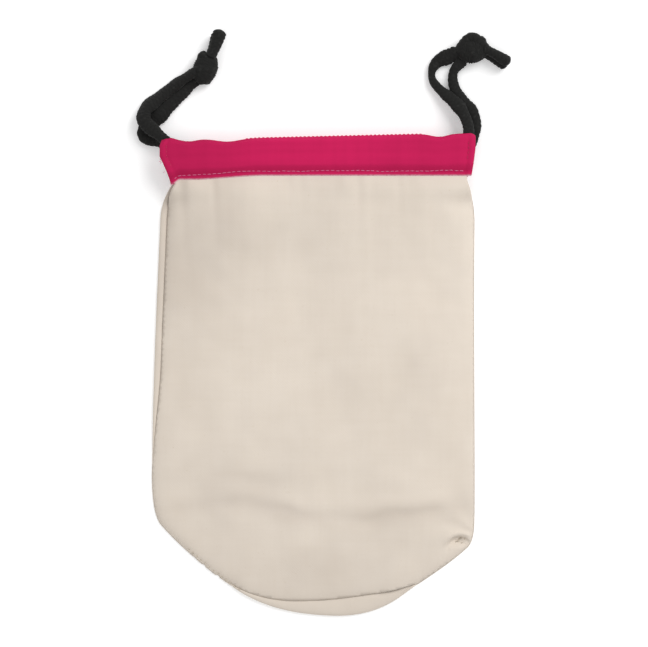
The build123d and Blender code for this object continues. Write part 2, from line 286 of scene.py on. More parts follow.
def plain_weave(tree, thread):
    """Height of a plain weave, 0 to 1, from its thread spacing in metres. Warp and weft rise by turns."""
    place = add_node(tree, "ShaderNodeTexCoord").outputs["Object"]
    wobble = add_node(
        tree, "ShaderNodeTexNoise", {"Scale": 90.0, "Detail": 2.0, "Roughness": 0.5}, {"Vector": place}
    )
    moved = add_node(
        tree,
        "ShaderNodeVectorMath",
        {"operation": "MULTIPLY_ADD", 1: (thread * 0.9,) * 3},
        {0: wobble.outputs["Color"], 2: place},
    )
    split = add_node(tree, "ShaderNodeSeparateXYZ", links={"Vector": moved.outputs[0]})
    waves = []
    for axis in ("X", "Y"):
        angle = add_node(
            tree, "ShaderNodeMath", {"operation": "MULTIPLY", 1: math.pi / thread}, {0: split.outputs[axis]}
        )
        waves.append(add_node(tree, "ShaderNodeMath", {"operation": "SINE"}, {0: angle.outputs[0]}))
    crossed = add_node(
        tree, "ShaderNodeMath", {"operation": "MULTIPLY"}, {0: waves[0].outputs[0], 1: waves[1].outputs[0]}
    )
    height = add_node(
        tree, "ShaderNodeMath", {"operation": "MULTIPLY_ADD", 1: 0.5, 2: 0.5}, {0: crossed.outputs[0]}
    )
    return height.outputs[0], moved.outputs[0]


def slubs(tree, place, scale, detail=3.0):
    """Streaks along warp and weft, where the yarn is thicker or thinner: two stretched noises, averaged."""
    streaks = []
    for stretch in ((1.0, 0.06, 1.0), (0.06, 1.0, 1.0)):
        mapped = add_node(tree, "ShaderNodeMapping", {"Scale": stretch}, {"Vector": place})
        streak = add_node(
            tree, "ShaderNodeTexNoise", {"Scale": scale, "Detail": detail, "Roughness": 0.6},
            {"Vector": mapped.outputs[0]},
        )
        streaks.append(streak.outputs["Fac"])
    mixed = add_node(tree, "ShaderNodeMix", {"data_type": "FLOAT", 0: 0.5}, {2: streaks[0], 3: streaks[1]})
    return mixed.outputs[0]


def blend_colour(tree, first, second, factor, blend_type="MIX"):
    """Mix two colours, each a socket or an RGBA value, by a factor socket or number."""
    node = add_node(tree, "ShaderNodeMix", {"data_type": "RGBA", "blend_type": blend_type})
    for index, value in ((0, factor), (6, first), (7, second)):
        if isinstance(value, bpy.types.NodeSocket):
            tree.links.new(value, node.inputs[index])
        else:
            node.inputs[index].default_value = value
    return node.outputs[2]


def unbleached_calico(colours):
    """Unbleached plain-weave cotton, washed and pressed flat: a matte ecru cloth with faint slubs and seed
    flecks, darkened by painted shade in broad patches, along the old fold and in the gathers' hollows, and a
    little darker where the weave sinks. Real threads are 0.4 mm apart; they are drawn 0.8 mm apart."""
    material, tree, shader = new_material("unbleached_calico_plain_weave")
    weave, place = plain_weave(tree, 0.0008)
    slub = slubs(tree, place, 330.0)
    mottle = add_node(
        tree, "ShaderNodeTexNoise", {"Scale": 30.0, "Detail": 5.0, "Roughness": 0.55}, {"Vector": place}
    )
    fleck = add_node(tree, "ShaderNodeTexNoise", {"Scale": 900.0, "Detail": 1.0}, {"Vector": place})
    # painted shade and mottle, from a per-vertex attribute: the cloth is mixed towards a darker grey
    painted_darkening = add_node(tree, "ShaderNodeAttribute", {"attribute_name": "painted_darkening"})
    base = hex_to_linear(colours.calico)
    dark = hex_to_linear(colours.calico_fleck)
    grey = tuple(channel * share for channel, share in zip(base, (0.80, 0.79, 0.79))) + (1.0,)
    colour = blend_colour(tree, base, grey, painted_darkening.outputs["Fac"])
    for source, low, high, most in (
        (mottle.outputs["Fac"], 0.35, 0.75, 0.10),
        (slub, 0.42, 0.62, 0.05),
        # painted shade: a little darker where the weave sinks between the threads
        (weave, 1.0, 0.0, 0.04),
        (fleck.outputs["Fac"], 0.72, 0.82, 0.4),
    ):
        amount = add_node(
            tree, "ShaderNodeMapRange", {"From Min": low, "From Max": high, "To Max": most}, {"Value": source}
        )
        colour = blend_colour(tree, colour, dark, amount.outputs[0])
    tree.links.new(colour, shader.inputs["Base Color"])
    height = add_node(tree, "ShaderNodeMix", {"data_type": "FLOAT", 0: 0.45}, {2: weave, 3: slub})
    bump = add_node(
        tree, "ShaderNodeBump", {"Strength": 0.22, "Distance": 0.00015}, {"Height": height.outputs[0]}
    )
    tree.links.new(bump.outputs[0], shader.inputs["Normal"])
    shader.inputs["Roughness"].default_value = 0.95
    shader.inputs["Specular IOR Level"].default_value = 0.1
    shader.inputs["Sheen Weight"].default_value = 0.05
    shader.inputs["Sheen Roughness"].default_value = 0.6
    return material


def dyed_cotton(colours):
    """Dyed plain-weave cotton, pressed: an even, saturated pink with a faint bloom, paler where its cut edge
    frays, with painted shade towards the band's ends and where the weave sinks. Real threads are 0.3 mm
    apart; they are drawn 0.8 mm apart, so that they show."""
    material, tree, shader = new_material("dyed_cotton_plain_weave")
    weave, place = plain_weave(tree, 0.0008)
    slub = slubs(tree, place, 300.0)
    cloud = add_node(
        tree, "ShaderNodeTexNoise", {"Scale": 16.0, "Detail": 3.0, "Roughness": 0.5}, {"Vector": place}
    )
    base = hex_to_linear(colours.casing)
    deep = tuple(channel * 0.72 for channel in base[:3]) + (1.0,)
    pale = hex_to_linear(colours.casing_edge)
    cloud_amount = add_node(
        tree, "ShaderNodeMapRange", {"From Min": 0.38, "From Max": 0.72, "To Max": 0.45},
        {"Value": cloud.outputs["Fac"]},
    )
    slub_amount = add_node(
        tree, "ShaderNodeMapRange", {"From Min": 0.42, "From Max": 0.62, "To Max": 0.2}, {"Value": slub}
    )
    # painted shade: a little darker where the weave sinks between the threads
    weave_amount = add_node(
        tree, "ShaderNodeMapRange", {"From Min": 1.0, "From Max": 0.0, "To Max": 0.12}, {"Value": weave}
    )
    lip = add_node(tree, "ShaderNodeAttribute", {"attribute_name": "frayed_edge"})
    fray = add_node(tree, "ShaderNodeTexNoise", {"Scale": 700.0, "Detail": 2.0}, {"Vector": place})
    lip_amount = add_node(
        tree, "ShaderNodeMath", {"operation": "MULTIPLY", "use_clamp": True},
        {0: lip.outputs["Fac"], 1: fray.outputs["Fac"]},
    )
    # painted shade from the "shaded" attribute: darker towards the band's ends
    shaded = add_node(tree, "ShaderNodeAttribute", {"attribute_name": "shaded"})
    colour = blend_colour(tree, base, deep, cloud_amount.outputs[0])
    colour = blend_colour(tree, colour, deep, shaded.outputs["Fac"])
    colour = blend_colour(tree, colour, deep, slub_amount.outputs[0])
    colour = blend_colour(tree, colour, deep, weave_amount.outputs[0])
    colour = blend_colour(tree, colour, pale, lip_amount.outputs[0])
    tree.links.new(colour, shader.inputs["Base Color"])
    height = add_node(tree, "ShaderNodeMix", {"data_type": "FLOAT", 0: 0.35}, {2: weave, 3: slub})
    bump = add_node(
        tree, "ShaderNodeBump", {"Strength": 0.45, "Distance": 0.00018}, {"Height": height.outputs[0]}
    )
    tree.links.new(bump.outputs[0], shader.inputs["Normal"])
    shader.inputs["Roughness"].default_value = 0.85
    shader.inputs["Specular IOR Level"].default_value = 0.12
    return material


MADE = {}


def finish(builder):
    """The material that a builder makes. It is made once."""
    if builder not in MADE:
        MADE[builder] = builder(bpy.context.scene.bag_colours)
    return MADE[builder]


def topstitch_thread(colours):
    """Pink polyester thread, a tint paler than the casing, so that its stitches show."""
    return spun_thread("pink_polyester_thread", colours.topstitch)


def hem_thread(colours):
    """Pink polyester thread of the casing's own shade, which hardly shows on it."""
    return spun_thread("deep_pink_polyester_thread", colours.casing)


def seam_thread(colours):
    """Undyed cotton thread, close to the calico's own colour."""
    return spun_thread("undyed_cotton_thread", colours.seam_thread)


def fray_thread(colours):
    """Short fibres frayed from the casing's raw edge, paler than the cloth."""
    return spun_thread("frayed_pale_fibre", colours.casing_edge)


def spun_thread(name, code):
    """Spun sewing thread, two plies twisted together: fine slanting ridges with painted shade in the grooves
    between them, and a dull gloss.
    """
    material, tree, shader = new_material(name)
    place = add_node(tree, "ShaderNodeTexCoord").outputs["Object"]
    twist = add_node(
        tree, "ShaderNodeTexWave", {"bands_direction": "DIAGONAL", "Scale": 520.0, "Distortion": 1.5},
        {"Vector": place},
    )
    base = hex_to_linear(code)
    deep = tuple(channel * 0.6 for channel in base[:3]) + (1.0,)
    # painted shade: darker in the grooves between the twisted ridges
    colour = blend_colour(tree, deep, base, twist.outputs["Fac"])
    tree.links.new(colour, shader.inputs["Base Color"])
    bump = add_node(
        tree, "ShaderNodeBump", {"Strength": 0.4, "Distance": 0.0001}, {"Height": twist.outputs["Fac"]}
    )
    tree.links.new(bump.outputs[0], shader.inputs["Normal"])
    shader.inputs["Roughness"].default_value = 0.6
    return material


def braided_cotton(colours):
    """Soft black cotton cord, braided from loosely spun yarn: near black and fuzzy, with painted shade in the
    hollows between its strands, so that their crowns are lighter, and greyer lint here and there. The yarn's
    fibres are drawn about 0.5 mm apart."""
    material, tree, shader = new_material("braided_cotton_cord")
    place = add_node(tree, "ShaderNodeTexCoord").outputs["Object"]
    fibre = add_node(
        tree, "ShaderNodeTexNoise", {"Scale": 1900.0, "Detail": 4.0, "Roughness": 0.7}, {"Vector": place}
    )
    lint = add_node(
        tree, "ShaderNodeTexNoise", {"Scale": 420.0, "Detail": 3.0, "Roughness": 0.6}, {"Vector": place}
    )
    base = hex_to_linear(colours.cord)
    grey = tuple(channel * 2.4 for channel in base[:3]) + (1.0,)
    deep = tuple(channel * 0.55 for channel in base[:3]) + (1.0,)
    # painted shade: darker in the hollows between the strands, lighter on their crowns
    crown = add_node(tree, "ShaderNodeAttribute", {"attribute_name": "strand_crown"})
    colour = blend_colour(tree, deep, base, crown.outputs["Fac"])
    lint_amount = add_node(
        tree, "ShaderNodeMapRange", {"From Min": 0.55, "From Max": 0.75, "To Max": 0.5},
        {"Value": lint.outputs["Fac"]},
    )
    colour = blend_colour(tree, colour, grey, lint_amount.outputs[0])
    tree.links.new(colour, shader.inputs["Base Color"])
    bump = add_node(
        tree, "ShaderNodeBump", {"Strength": 0.8, "Distance": 0.00035}, {"Height": fibre.outputs["Fac"]}
    )
    tree.links.new(bump.outputs[0], shader.inputs["Normal"])
    shader.inputs["Roughness"].default_value = 0.95
    shader.inputs["Specular IOR Level"].default_value = 0.15
    shader.inputs["Sheen Weight"].default_value = 0.08
    shader.inputs["Sheen Roughness"].default_value = 0.45
    return material


def lit_acrylic(colours):
    """A light table's opal acrylic top: an even matte white that glows a little, so that shadows on it are
    faint."""
    material, tree, shader = new_material("opal_acrylic")
    place = add_node(tree, "ShaderNodeTexCoord").outputs["Object"]
    roller = add_node(tree, "ShaderNodeTexNoise", {"Scale": 300.0, "Detail": 2.0}, {"Vector": place})
    base = hex_to_linear(colours.floor)
    dim = tuple(channel * 0.99 for channel in base[:3]) + (1.0,)
    tree.links.new(blend_colour(tree, base, dim, roller.outputs["Fac"]), shader.inputs["Base Color"])
    shader.inputs["Roughness"].default_value = 0.9
    shader.inputs["Specular IOR Level"].default_value = 0.1
    shader.inputs["Emission Color"].default_value = base
    shader.inputs["Emission Strength"].default_value = 0.22
    return material


# ---------------------------------------------------------------------------------------------------------
# Shapes


def smoothstep(value, low, high):
    """0 below low, 1 above high, and a smooth ramp between them. low may be the higher number."""
    t = np.clip((np.asarray(value, float) - low) / (high - low), 0, 1)
    return t * t * (3 - 2 * t)


def evenly(line, step):
    """The same line with its points about a step apart."""
    along = np.concatenate([[0], np.cumsum(np.linalg.norm(np.diff(line, axis=0), axis=1))])
    places = np.linspace(0, along[-1], max(2, int(round(along[-1] / step)) + 1))
    return np.stack([np.interp(places, along, line[:, i]) for i in range(line.shape[1])], axis=1)


def curved(points, step):
    """The line of Bezier curves that share their corners, with its points about a step apart."""
    points = np.array(points, float)
    t = np.linspace(0, 1, 200)[:, None]
    pieces = []
    for first in range(0, len(points) - 1, 3):
        a, b, c, d = points[first:first + 4]
        pieces.append((1 - t) ** 3 * a + 3 * (1 - t) ** 2 * t * b + 3 * (1 - t) * t**2 * c + t**3 * d)
    return evenly(np.vstack(pieces), step)


def band_fold(x):
    """The y of the band's fold line at each x."""
    dips = sum(height * np.exp(-(((x - place) / reach) ** 2)) for place, height, reach in FOLD_DIPS)
    return FOLD_LEFT_Y + FOLD_SLOPE * (x + 95) + dips


def band_low(x):
    """The y of the band's lower edge at each x."""
    bend = LOWER_EDGE_BEND * (1 - smoothstep(x, -76, -30))
    return LOWER_EDGE_Y - bend - LOWER_EDGE_DROP * (1 - smoothstep(x, BAND_LEFT, BAND_LEFT + 5.6))


def band_left(share):
    """The x of the band's left end, by share of its height."""
    lean = BAND_LEFT_LEAN * np.clip(share / LEAN_HEIGHT, 0, 1) ** 1.25
    return BAND_LEFT - lean + smoothstep(share, 0.85, 1.0)


def band_right(share):
    """The x of the band's right end, by share of its height. It turns in at the fold."""
    lean = BAND_RIGHT_LEAN * np.clip(share / LEAN_HEIGHT, 0, 1)
    return BAND_RIGHT + lean - 2.2 * np.clip((share - 0.9) / 0.1, 0, 1) ** 3


def cloth_noise(x, y, size, seed):
    """Smooth seeded noise, about -1 to 1, whose bumps are size across."""
    flat = zip(np.ravel(x), np.ravel(y))
    values = [noise.noise(Vector((a / size + seed * 7.31, b / size - seed * 3.17, seed))) for a, b in flat]
    return np.array(values).reshape(np.shape(x)) * 2


def make_object(name, vertices, faces, material, attributes=None):
    """A smooth mesh object from vertices in millimetres. attributes holds, by name, a number for each
    vertex."""
    mesh = bpy.data.meshes.new(name)
    mesh.from_pydata([tuple(v) for v in np.asarray(vertices, float) * MM], [], [tuple(f) for f in faces])
    mesh.validate()
    mesh.shade_smooth()
    mesh.materials.append(material)
    for key, values in (attributes or {}).items():
        layer = mesh.attributes.new(key, "FLOAT", "POINT")
        layer.data.foreach_set("value", np.asarray(values, np.float32))
    piece = bpy.data.objects.new(name, mesh)
    bpy.context.scene.collection.objects.link(piece)
    return piece


def thicken(piece, thickness, offset=-1.0):
    """Give a cloth surface its thickness, on the side away from its normals."""
    solid = piece.modifiers.new("cloth thickness", "SOLIDIFY")
    solid.thickness = thickness
    solid.offset = offset
    solid.use_even_offset = False
    return piece


def grid_faces(rows, columns, closed=False, first=0):
    """Quads over a grid of vertices stored row by row. A closed grid joins its last column to its first."""
    last = columns if closed else columns - 1
    faces = []
    for r in range(rows - 1):
        for c in range(last):
            a = first + r * columns + c
            b = first + r * columns + (c + 1) % columns
            faces.append((a, b, b + columns, a + columns))
    return faces


def route_spline(name, points):
    """A cord's route as a smooth NURBS spline on its own curve object."""
    curve = bpy.data.curves.new(name, "CURVE")
    curve.dimensions = "3D"
    curve.resolution_u = 24
    spline = curve.splines.new("NURBS")
    spline.points.add(len(points) - 1)
    for place, point in zip(spline.points, points):
        place.co = (*point, 1.0)
    spline.order_u = 3
    spline.use_endpoint_u = True
    return curve


def line_of(points, step):
    """Evenly spaced points, in millimetres, read from the route's NURBS spline."""
    curve = route_spline("route", points)
    holder = bpy.data.objects.new("route", curve)
    bpy.context.scene.collection.objects.link(holder)
    bpy.context.view_layer.update()
    mesh = bpy.data.meshes.new_from_object(holder)
    line = np.array([v.co for v in mesh.vertices]) / MM
    bpy.data.objects.remove(holder)
    bpy.data.meshes.remove(mesh)
    bpy.data.curves.remove(curve)
    along = np.concatenate([[0], np.cumsum(np.linalg.norm(np.diff(line, axis=0), axis=1))])
    even = np.linspace(0, along[-1], max(8, int(along[-1] / step)))
    return np.stack([np.interp(even, along, line[:, i]) for i in range(3)], axis=1)


def line_frames(line):
    """Side and up directions along a line, carried from point to point without twist."""
    tangents = np.gradient(line, axis=0)
    tangents /= np.linalg.norm(tangents, axis=1)[:, None]
    side = np.cross(tangents[0], (0, 0, 1.0))
    side /= np.linalg.norm(side)
    sides = []
    for tangent in tangents:
        side = side - tangent * np.dot(side, tangent)
        side = side / np.linalg.norm(side)
        sides.append(side)
    sides = np.array(sides)
    return sides, np.cross(sides, tangents)


def end_cap(distance, reach):
    """How full a cord is at a distance from its round end, 0 to 1."""
    return np.sqrt(np.clip(1 - (1 - np.clip(distance / reach, 0, 1)) ** 2, 0.02, 1))


def braid_surface(line, half_width, half_height, strands, seed=0, round_start=False, round_end=True):
    """A braided cord's skin round a line. The strands of two opposite helices pass over and under each
    other by turns. half_width and half_height are single numbers or one for each point of the line."""
    count = len(line)
    step = float(np.linalg.norm(line[1] - line[0]))
    around = 32
    angle = np.linspace(0, 2 * math.pi, around, endpoint=False)
    along = np.arange(count) * step
    wind = 2 * math.pi / BRAID_LAY
    a = strands * (angle[None, :] + wind * along[:, None])
    b = strands * (angle[None, :] - wind * along[:, None])
    over = 0.2 * np.cos(strands * angle[None, :])
    first = np.sqrt(np.abs(np.cos(a / 2))) * 0.8 + over
    second = np.sqrt(np.abs(np.cos(b / 2))) * 0.8 - over
    crown = np.clip(np.maximum(first, second), 0, 1)
    fuzz = np.array(
        [
            [noise.noise(Vector((s * 1.3, math.cos(t) * 2.2 + seed, math.sin(t) * 2.2))) for t in angle]
            for s in along
        ]
    )
    relief = 0.86 + 0.17 * crown + 0.06 * fuzz
    cap = np.ones(count)
    reach = 3.0
    if round_end:
        cap = np.minimum(cap, end_cap(along[-1] - along, reach))
    if round_start:
        cap = np.minimum(cap, end_cap(along, reach))
    width = np.broadcast_to(half_width, (count,)) * cap
    height = np.broadcast_to(half_height, (count,)) * cap
    sides, ups = line_frames(line)
    vertices = (
        line[:, None, :]
        + sides[:, None, :] * (np.cos(angle)[None, :] * width[:, None] * relief)[:, :, None]
        + ups[:, None, :] * (np.sin(angle)[None, :] * height[:, None] * relief)[:, :, None]
    )
    faces = grid_faces(count, around, closed=True)
    flat = vertices.reshape(-1, 3)
    ends = [line[0], line[-1]]
    start, stop = len(flat), len(flat) + 1
    faces += [(start, (i + 1) % around, i) for i in range(around)]
    base = (count - 1) * around
    faces += [(stop, base + i, base + (i + 1) % around) for i in range(around)]
    return np.vstack([flat, ends]), faces, np.concatenate([crown.ravel(), [0.5, 0.5]])


def joined(parts):
    """Several (vertices, faces, values) as one."""
    vertices, faces, values, first = [], [], [], 0
    for part_vertices, part_faces, part_values in parts:
        vertices.append(part_vertices)
        faces += [tuple(i + first for i in face) for face in part_faces]
        values.append(part_values)
        first += len(part_vertices)
    return np.vstack(vertices), faces, np.concatenate(values)


def capsule(start, end, lift, width, height, bend=0.0):
    """A stitch: a short thread from start to end that dives into the cloth at both ends."""
    start, end = np.array(start, float), np.array(end, float)
    rings, around = 7, 6
    t = np.linspace(0, 1, rings)
    way = (end - start) / np.linalg.norm(end - start)
    side = np.cross((0, 0, 1.0), way)
    side /= np.linalg.norm(side)
    bow = np.sin(t * math.pi)
    up = np.array((0, 0, 1.0))
    centre = start + (end - start) * t[:, None] + np.outer(bow * lift, up) + np.outer(bow * bend, side)
    angle = np.linspace(0, 2 * math.pi, around, endpoint=False)
    size = 0.55 + 0.45 * bow
    across = (np.cos(angle)[None, :] * size[:, None] * width / 2)[:, :, None]
    rise = (np.sin(angle)[None, :] * size[:, None] * height / 2)[:, :, None]
    vertices = centre[:, None, :] + side[None, None, :] * across + up[None, None, :] * rise
    vertices = vertices.reshape(-1, 3)
    faces = grid_faces(rings, around, closed=True)
    faces.append(tuple(range(around)))
    faces.append(tuple(reversed(range((rings - 1) * around, rings * around))))
    return vertices, faces, np.ones(len(vertices))


def inside_ring(points, ring):
    """Which points lie inside a closed ring."""
    x, y = points[:, 0], points[:, 1]
    inside = np.zeros(len(points), bool)
    for (ax, ay), (bx, by) in zip(ring, np.roll(ring, -1, axis=0)):
        crosses = (ay > y) != (by > y)
        with np.errstate(divide="ignore", invalid="ignore"):
            reach = (bx - ax) * (y - ay) / (by - ay) + ax
        inside ^= crosses & (x < reach)
    return inside


def distance_to(points, line):
    """Each point's distance to the nearest point of a line."""
    nearest = np.full(len(points), np.inf)
    for chunk in np.array_split(line, max(1, len(line) // 64)):
        gaps = np.linalg.norm(points[:, None, :] - chunk[None, :, :], axis=2)
        nearest = np.minimum(nearest, gaps.min(axis=1))
    return nearest


def fill_ring(ring, spacing, fine_spot=None):
    """Triangles over the inside of a ring, on an even grid that is finer round one spot."""
    low, high = ring.min(axis=0), ring.max(axis=0)
    rows = np.arange(low[1], high[1], spacing * 0.866)
    grid = [
        (x + (spacing / 2 if i % 2 else 0), y)
        for i, y in enumerate(rows)
        for x in np.arange(low[0], high[0], spacing)
    ]
    points = np.array(grid)
    if fine_spot is not None:
        centre, reach, fine = fine_spot
        points = points[np.linalg.norm(points - centre, axis=1) > reach]
        near = np.array(
            [
                (x, y)
                for x in np.arange(centre[0] - reach, centre[0] + reach, fine)
                for y in np.arange(centre[1] - reach, centre[1] + reach, fine)
            ]
        )
        near = near[np.linalg.norm(near - centre, axis=1) < reach]
        points = np.vstack([points, near])
    points = points[inside_ring(points, ring)]
    points = points[distance_to(points, ring) > 0.55]
    everything = np.vstack([ring, points])
    count = len(ring)
    edges = [(i, (i + 1) % count) for i in range(count)]
    found = delaunay_2d_cdt([Vector(p) for p in everything], edges, [], 1, 1e-5)
    vertices = np.array([tuple(v) for v in found[0]])
    faces = []
    for face in found[2]:
        a, b, c = (vertices[i] for i in face[:3])
        turn = (b[0] - a[0]) * (c[1] - a[1]) - (b[1] - a[1]) * (c[0] - a[0])
        faces.append(tuple(face) if turn > 0 else tuple(reversed(face)))
    return vertices, faces


# ---------------------------------------------------------------------------------------------------------
# The pouch's form


def sliver(x, y):
    """How far the back panel rolls out past the front one, in millimetres: along the left side above the
    low corner, and in a crescent under the round end."""
    left = 4.2 * smoothstep(y, -66, 8) * (1 - smoothstep(x, -90, -80)) * (1 - 0.5 * smoothstep(y, 102, 118))
    spots = curved(CRESCENT_CURVES, 0.5)
    crescent = np.interp(x, spots[:, 0], np.maximum(spots[:, 1], 0)) * (1 - smoothstep(y, -124, -112))
    return 0.15 + np.where(x < -80, left, 0) + crescent


def pouch_edge():
    """The outside edge of the pouch and the seam line inside it, point for point."""
    outer = curved(POUCH_CURVES, 0.9)
    way = np.gradient(outer, axis=0)
    way /= np.linalg.norm(way, axis=1)[:, None]
    inward = np.stack([-way[:, 1], way[:, 0]], axis=1)
    # along the round end's lower left the seam's stitches pull the edge in, here and there
    low = outer[:, 1] < -100
    pucker = smoothstep(outer[:, 0], -81, -77) * (1 - smoothstep(outer[:, 0], -52, -47)) * low
    along = np.concatenate([[0], np.cumsum(np.linalg.norm(np.diff(outer, axis=0), axis=1))])
    uneven = np.clip(cloth_noise(along, along * 0, 3.6, 12), 0, 1)
    outer = outer + inward * (0.75 * pucker * uneven)[:, None]
    seam = outer + inward * sliver(outer[:, 0], outer[:, 1])[:, None]
    return outer, seam


def opened(y):
    """0 where the side seams hold the panels together, rising to 1 at the casing."""
    return smoothstep(y, 104, 121)


def pinch(x, y):
    """The little pinched fold in the lower right corner: a raised arch with a hollow under it."""
    dx, dy = x - 92.0, y + 107.0
    radius = np.hypot(dx / 1.12, dy)
    upper = smoothstep(dy, -1.5, 3.5)
    arch = 1.0 * np.exp(-(((radius - 8.0) / 1.3) ** 2)) * upper
    hollow = -2.9 * (1 - smoothstep(radius, 4.9, 6.6)) * smoothstep(dy, -2.5, 4.5)
    run_out = -0.8 * np.exp(-(((dx + 7.4) / 1.3) ** 2)) * np.exp(-(((dy - 0.5) / 3.2) ** 2))
    return arch + hollow + run_out


def old_fold(x):
    """Where the old fold across the pouch lies, and how deep it is there, 0 to 1."""
    line = curved(OLD_FOLD_CURVES, 1.0)
    left_deep = 0.65 * np.exp(-(((x + 22) / 32) ** 2))
    right_deep = 0.7 * np.exp(-(((x - 58) / 28) ** 2))
    return np.interp(x, line[:, 0], line[:, 1]), 0.3 + left_deep + right_deep


def gathers(x, y):
    """Soft upright gathers under the casing, stronger at the left."""
    waves = cloth_noise(x, y * 0.10, 10, 4) + 0.7 * cloth_noise(x, y * 0.08, 5, 5)
    left = 0.45 + 0.55 * (1 - smoothstep(x, -45, 5))
    return waves * left * np.exp(-np.clip(124 - y, 0, 200) / 24)


def front_height(x, y, seam_line, widths):
    """Height of the front panel over the surface that the bag lies on."""
    flat = np.stack([x, y], axis=1)
    from_seam = distance_to(flat, seam_line)
    # where the back panel shows, the front one's edge is rolled under and stands up on it
    nearest = np.array(
        [np.argmin(np.abs(seam_line[:, 0] - a) + np.abs(seam_line[:, 1] - b)) for a, b in flat]
    )
    shown = smoothstep(widths[nearest], 0.4, 2.6)
    edge = 1.1 + (SEAM_HEIGHT - 1.1) * shown
    # it stands higher beside the tuck
    edge = edge + 1.6 * shown * np.exp(-(((x - 51) / 9) ** 2)) * (y < -100)
    edge = edge + (CASING_LOW[2] - edge + 0.6) * opened(y)
    crown = 6.2 + (CASING_LOW[2] - 5.8) * smoothstep(y, 40, 126) ** 1.3
    crown = crown + 1.4 * np.exp(-(((y + 20) / 80) ** 2)) * np.exp(-((x / 70) ** 2))
    slow_rise = 1 - np.exp(-from_seam / 13.0)
    quick_rise = 1 - np.exp(-from_seam / 1.8)
    height = edge + (crown - edge) * (0.72 * slow_rise + 0.28 * quick_rise)
    loose = smoothstep(from_seam, 1, 16)
    height += loose * 0.9 * cloth_noise(x, y * 0.8, 58, 1)
    height += loose * 0.42 * cloth_noise(x, y * 0.7, 26, 2)
    height += loose * 0.12 * cloth_noise(x, y, 11, 3)
    height += 0.5 * gathers(x, y) * smoothstep(from_seam, 0, 6)
    fold_y, depth = old_fold(x)
    off = y - fold_y
    off = off + 1.5 * cloth_noise(x, y * 0.6, 17, 18)
    depth = depth * np.clip(0.8 + 0.45 * cloth_noise(x, y * 0.3, 21, 19), 0.2, 1.2)
    valley = -0.95 * np.exp(-((off / 3.6) ** 2)) + 0.5 * np.exp(-(((off - 7.5) / 5.2) ** 2))
    height += loose * depth * (valley + 0.4 * np.exp(-(((off + 8.0) / 5.6) ** 2)))
    # a second, shorter fold over the first one's left end, and a short upright crease at the round end
    off = y + 66 + 0.16 * (x + 42)
    height += loose * -0.7 * np.exp(-((off / 5.5) ** 2)) * np.exp(-(((x + 42) / 22) ** 2))
    crease = np.exp(-(((x + 17.6) / 0.8) ** 2)) * smoothstep(y, -141, -137) * (1 - smoothstep(y, -131, -127))
    height += -0.35 * crease
    # pulls that fan out of the low right corner
    angle = np.arctan2(y + 100, 104 - x)
    reach = np.hypot(y + 100, 104 - x)
    fan = np.cos(angle * 9.0) * np.exp(-(((reach - 26) / 20) ** 2))
    height += 0.35 * fan * smoothstep(x, 20, 60) * (1 - smoothstep(y, -60, -40))
    height += pinch(x, y) * smoothstep(from_seam, 0.3, 2.0)
    # the stitches hold the panel flat against the underside of the casing's flange
    held = smoothstep(y, 108, 121)
    height = height * (1 - held) + (FRONT_FLANGE - FLANGE_DEPTH) * held
    height += 0.45 * gathers(x, y) * smoothstep(from_seam, 0, 6) * held * (1 - smoothstep(y, 117, 121))
    return np.maximum(height, 0.95)


def painted_shade_and_mottle(x, y):
    """How much the cloth's colour is darkened, 0 to about 1: painted shade in broad patches at the upper
    left, along the left and across the bottom, along the old fold and in the hollows of the gathers under the
    casing; two darker patches low down; and some random mottle.
    """
    # painted shade at the upper left
    upper_left = 1.15 * np.exp(-(((x + 80) / 36) ** 2) - ((y - 72) / 44) ** 2) * smoothstep(y, 26, 44)
    upper_left = upper_left + 0.5 * np.exp(-(((x + 53) / 8) ** 2)) * smoothstep(y, 66, 100)
    # two darker patches low on the pouch
    dark_patches = 0.3 * np.exp(-(((x - 0) / 24) ** 2) - ((y + 119) / 12) ** 2)
    dark_patches = dark_patches + 0.3 * np.exp(-(((x + 43) / 26) ** 2) - ((y + 68) / 10) ** 2)
    # painted shade along the left side and across the bottom
    left = 0.25 * np.exp(-(((x + 90) / 45) ** 2) - ((y - 10) / 70) ** 2)
    low = 0.42 * smoothstep(-y, 70, 125) * (1 - 0.3 * smoothstep(x, 20, 90))
    # painted shade along the old fold's valley and in the hollows of the gathers
    fold_y, depth = old_fold(x)
    crease = 0.6 * depth * np.exp(-(((y - fold_y) / 6.5) ** 2))
    under_band = 0.5 * np.clip(-gathers(x, y), 0, 2)
    # random mottle in the cloth's tone
    cloud = 0.14 * cloth_noise(x, y * 0.7, 34, 14) + 0.07 * cloth_noise(x, y, 13, 15)
    total = 0.1 + 0.5 * upper_left + 0.4 * left + 0.5 * low + dark_patches + crease + under_band + cloud
    return np.clip(total, 0, 1.2)


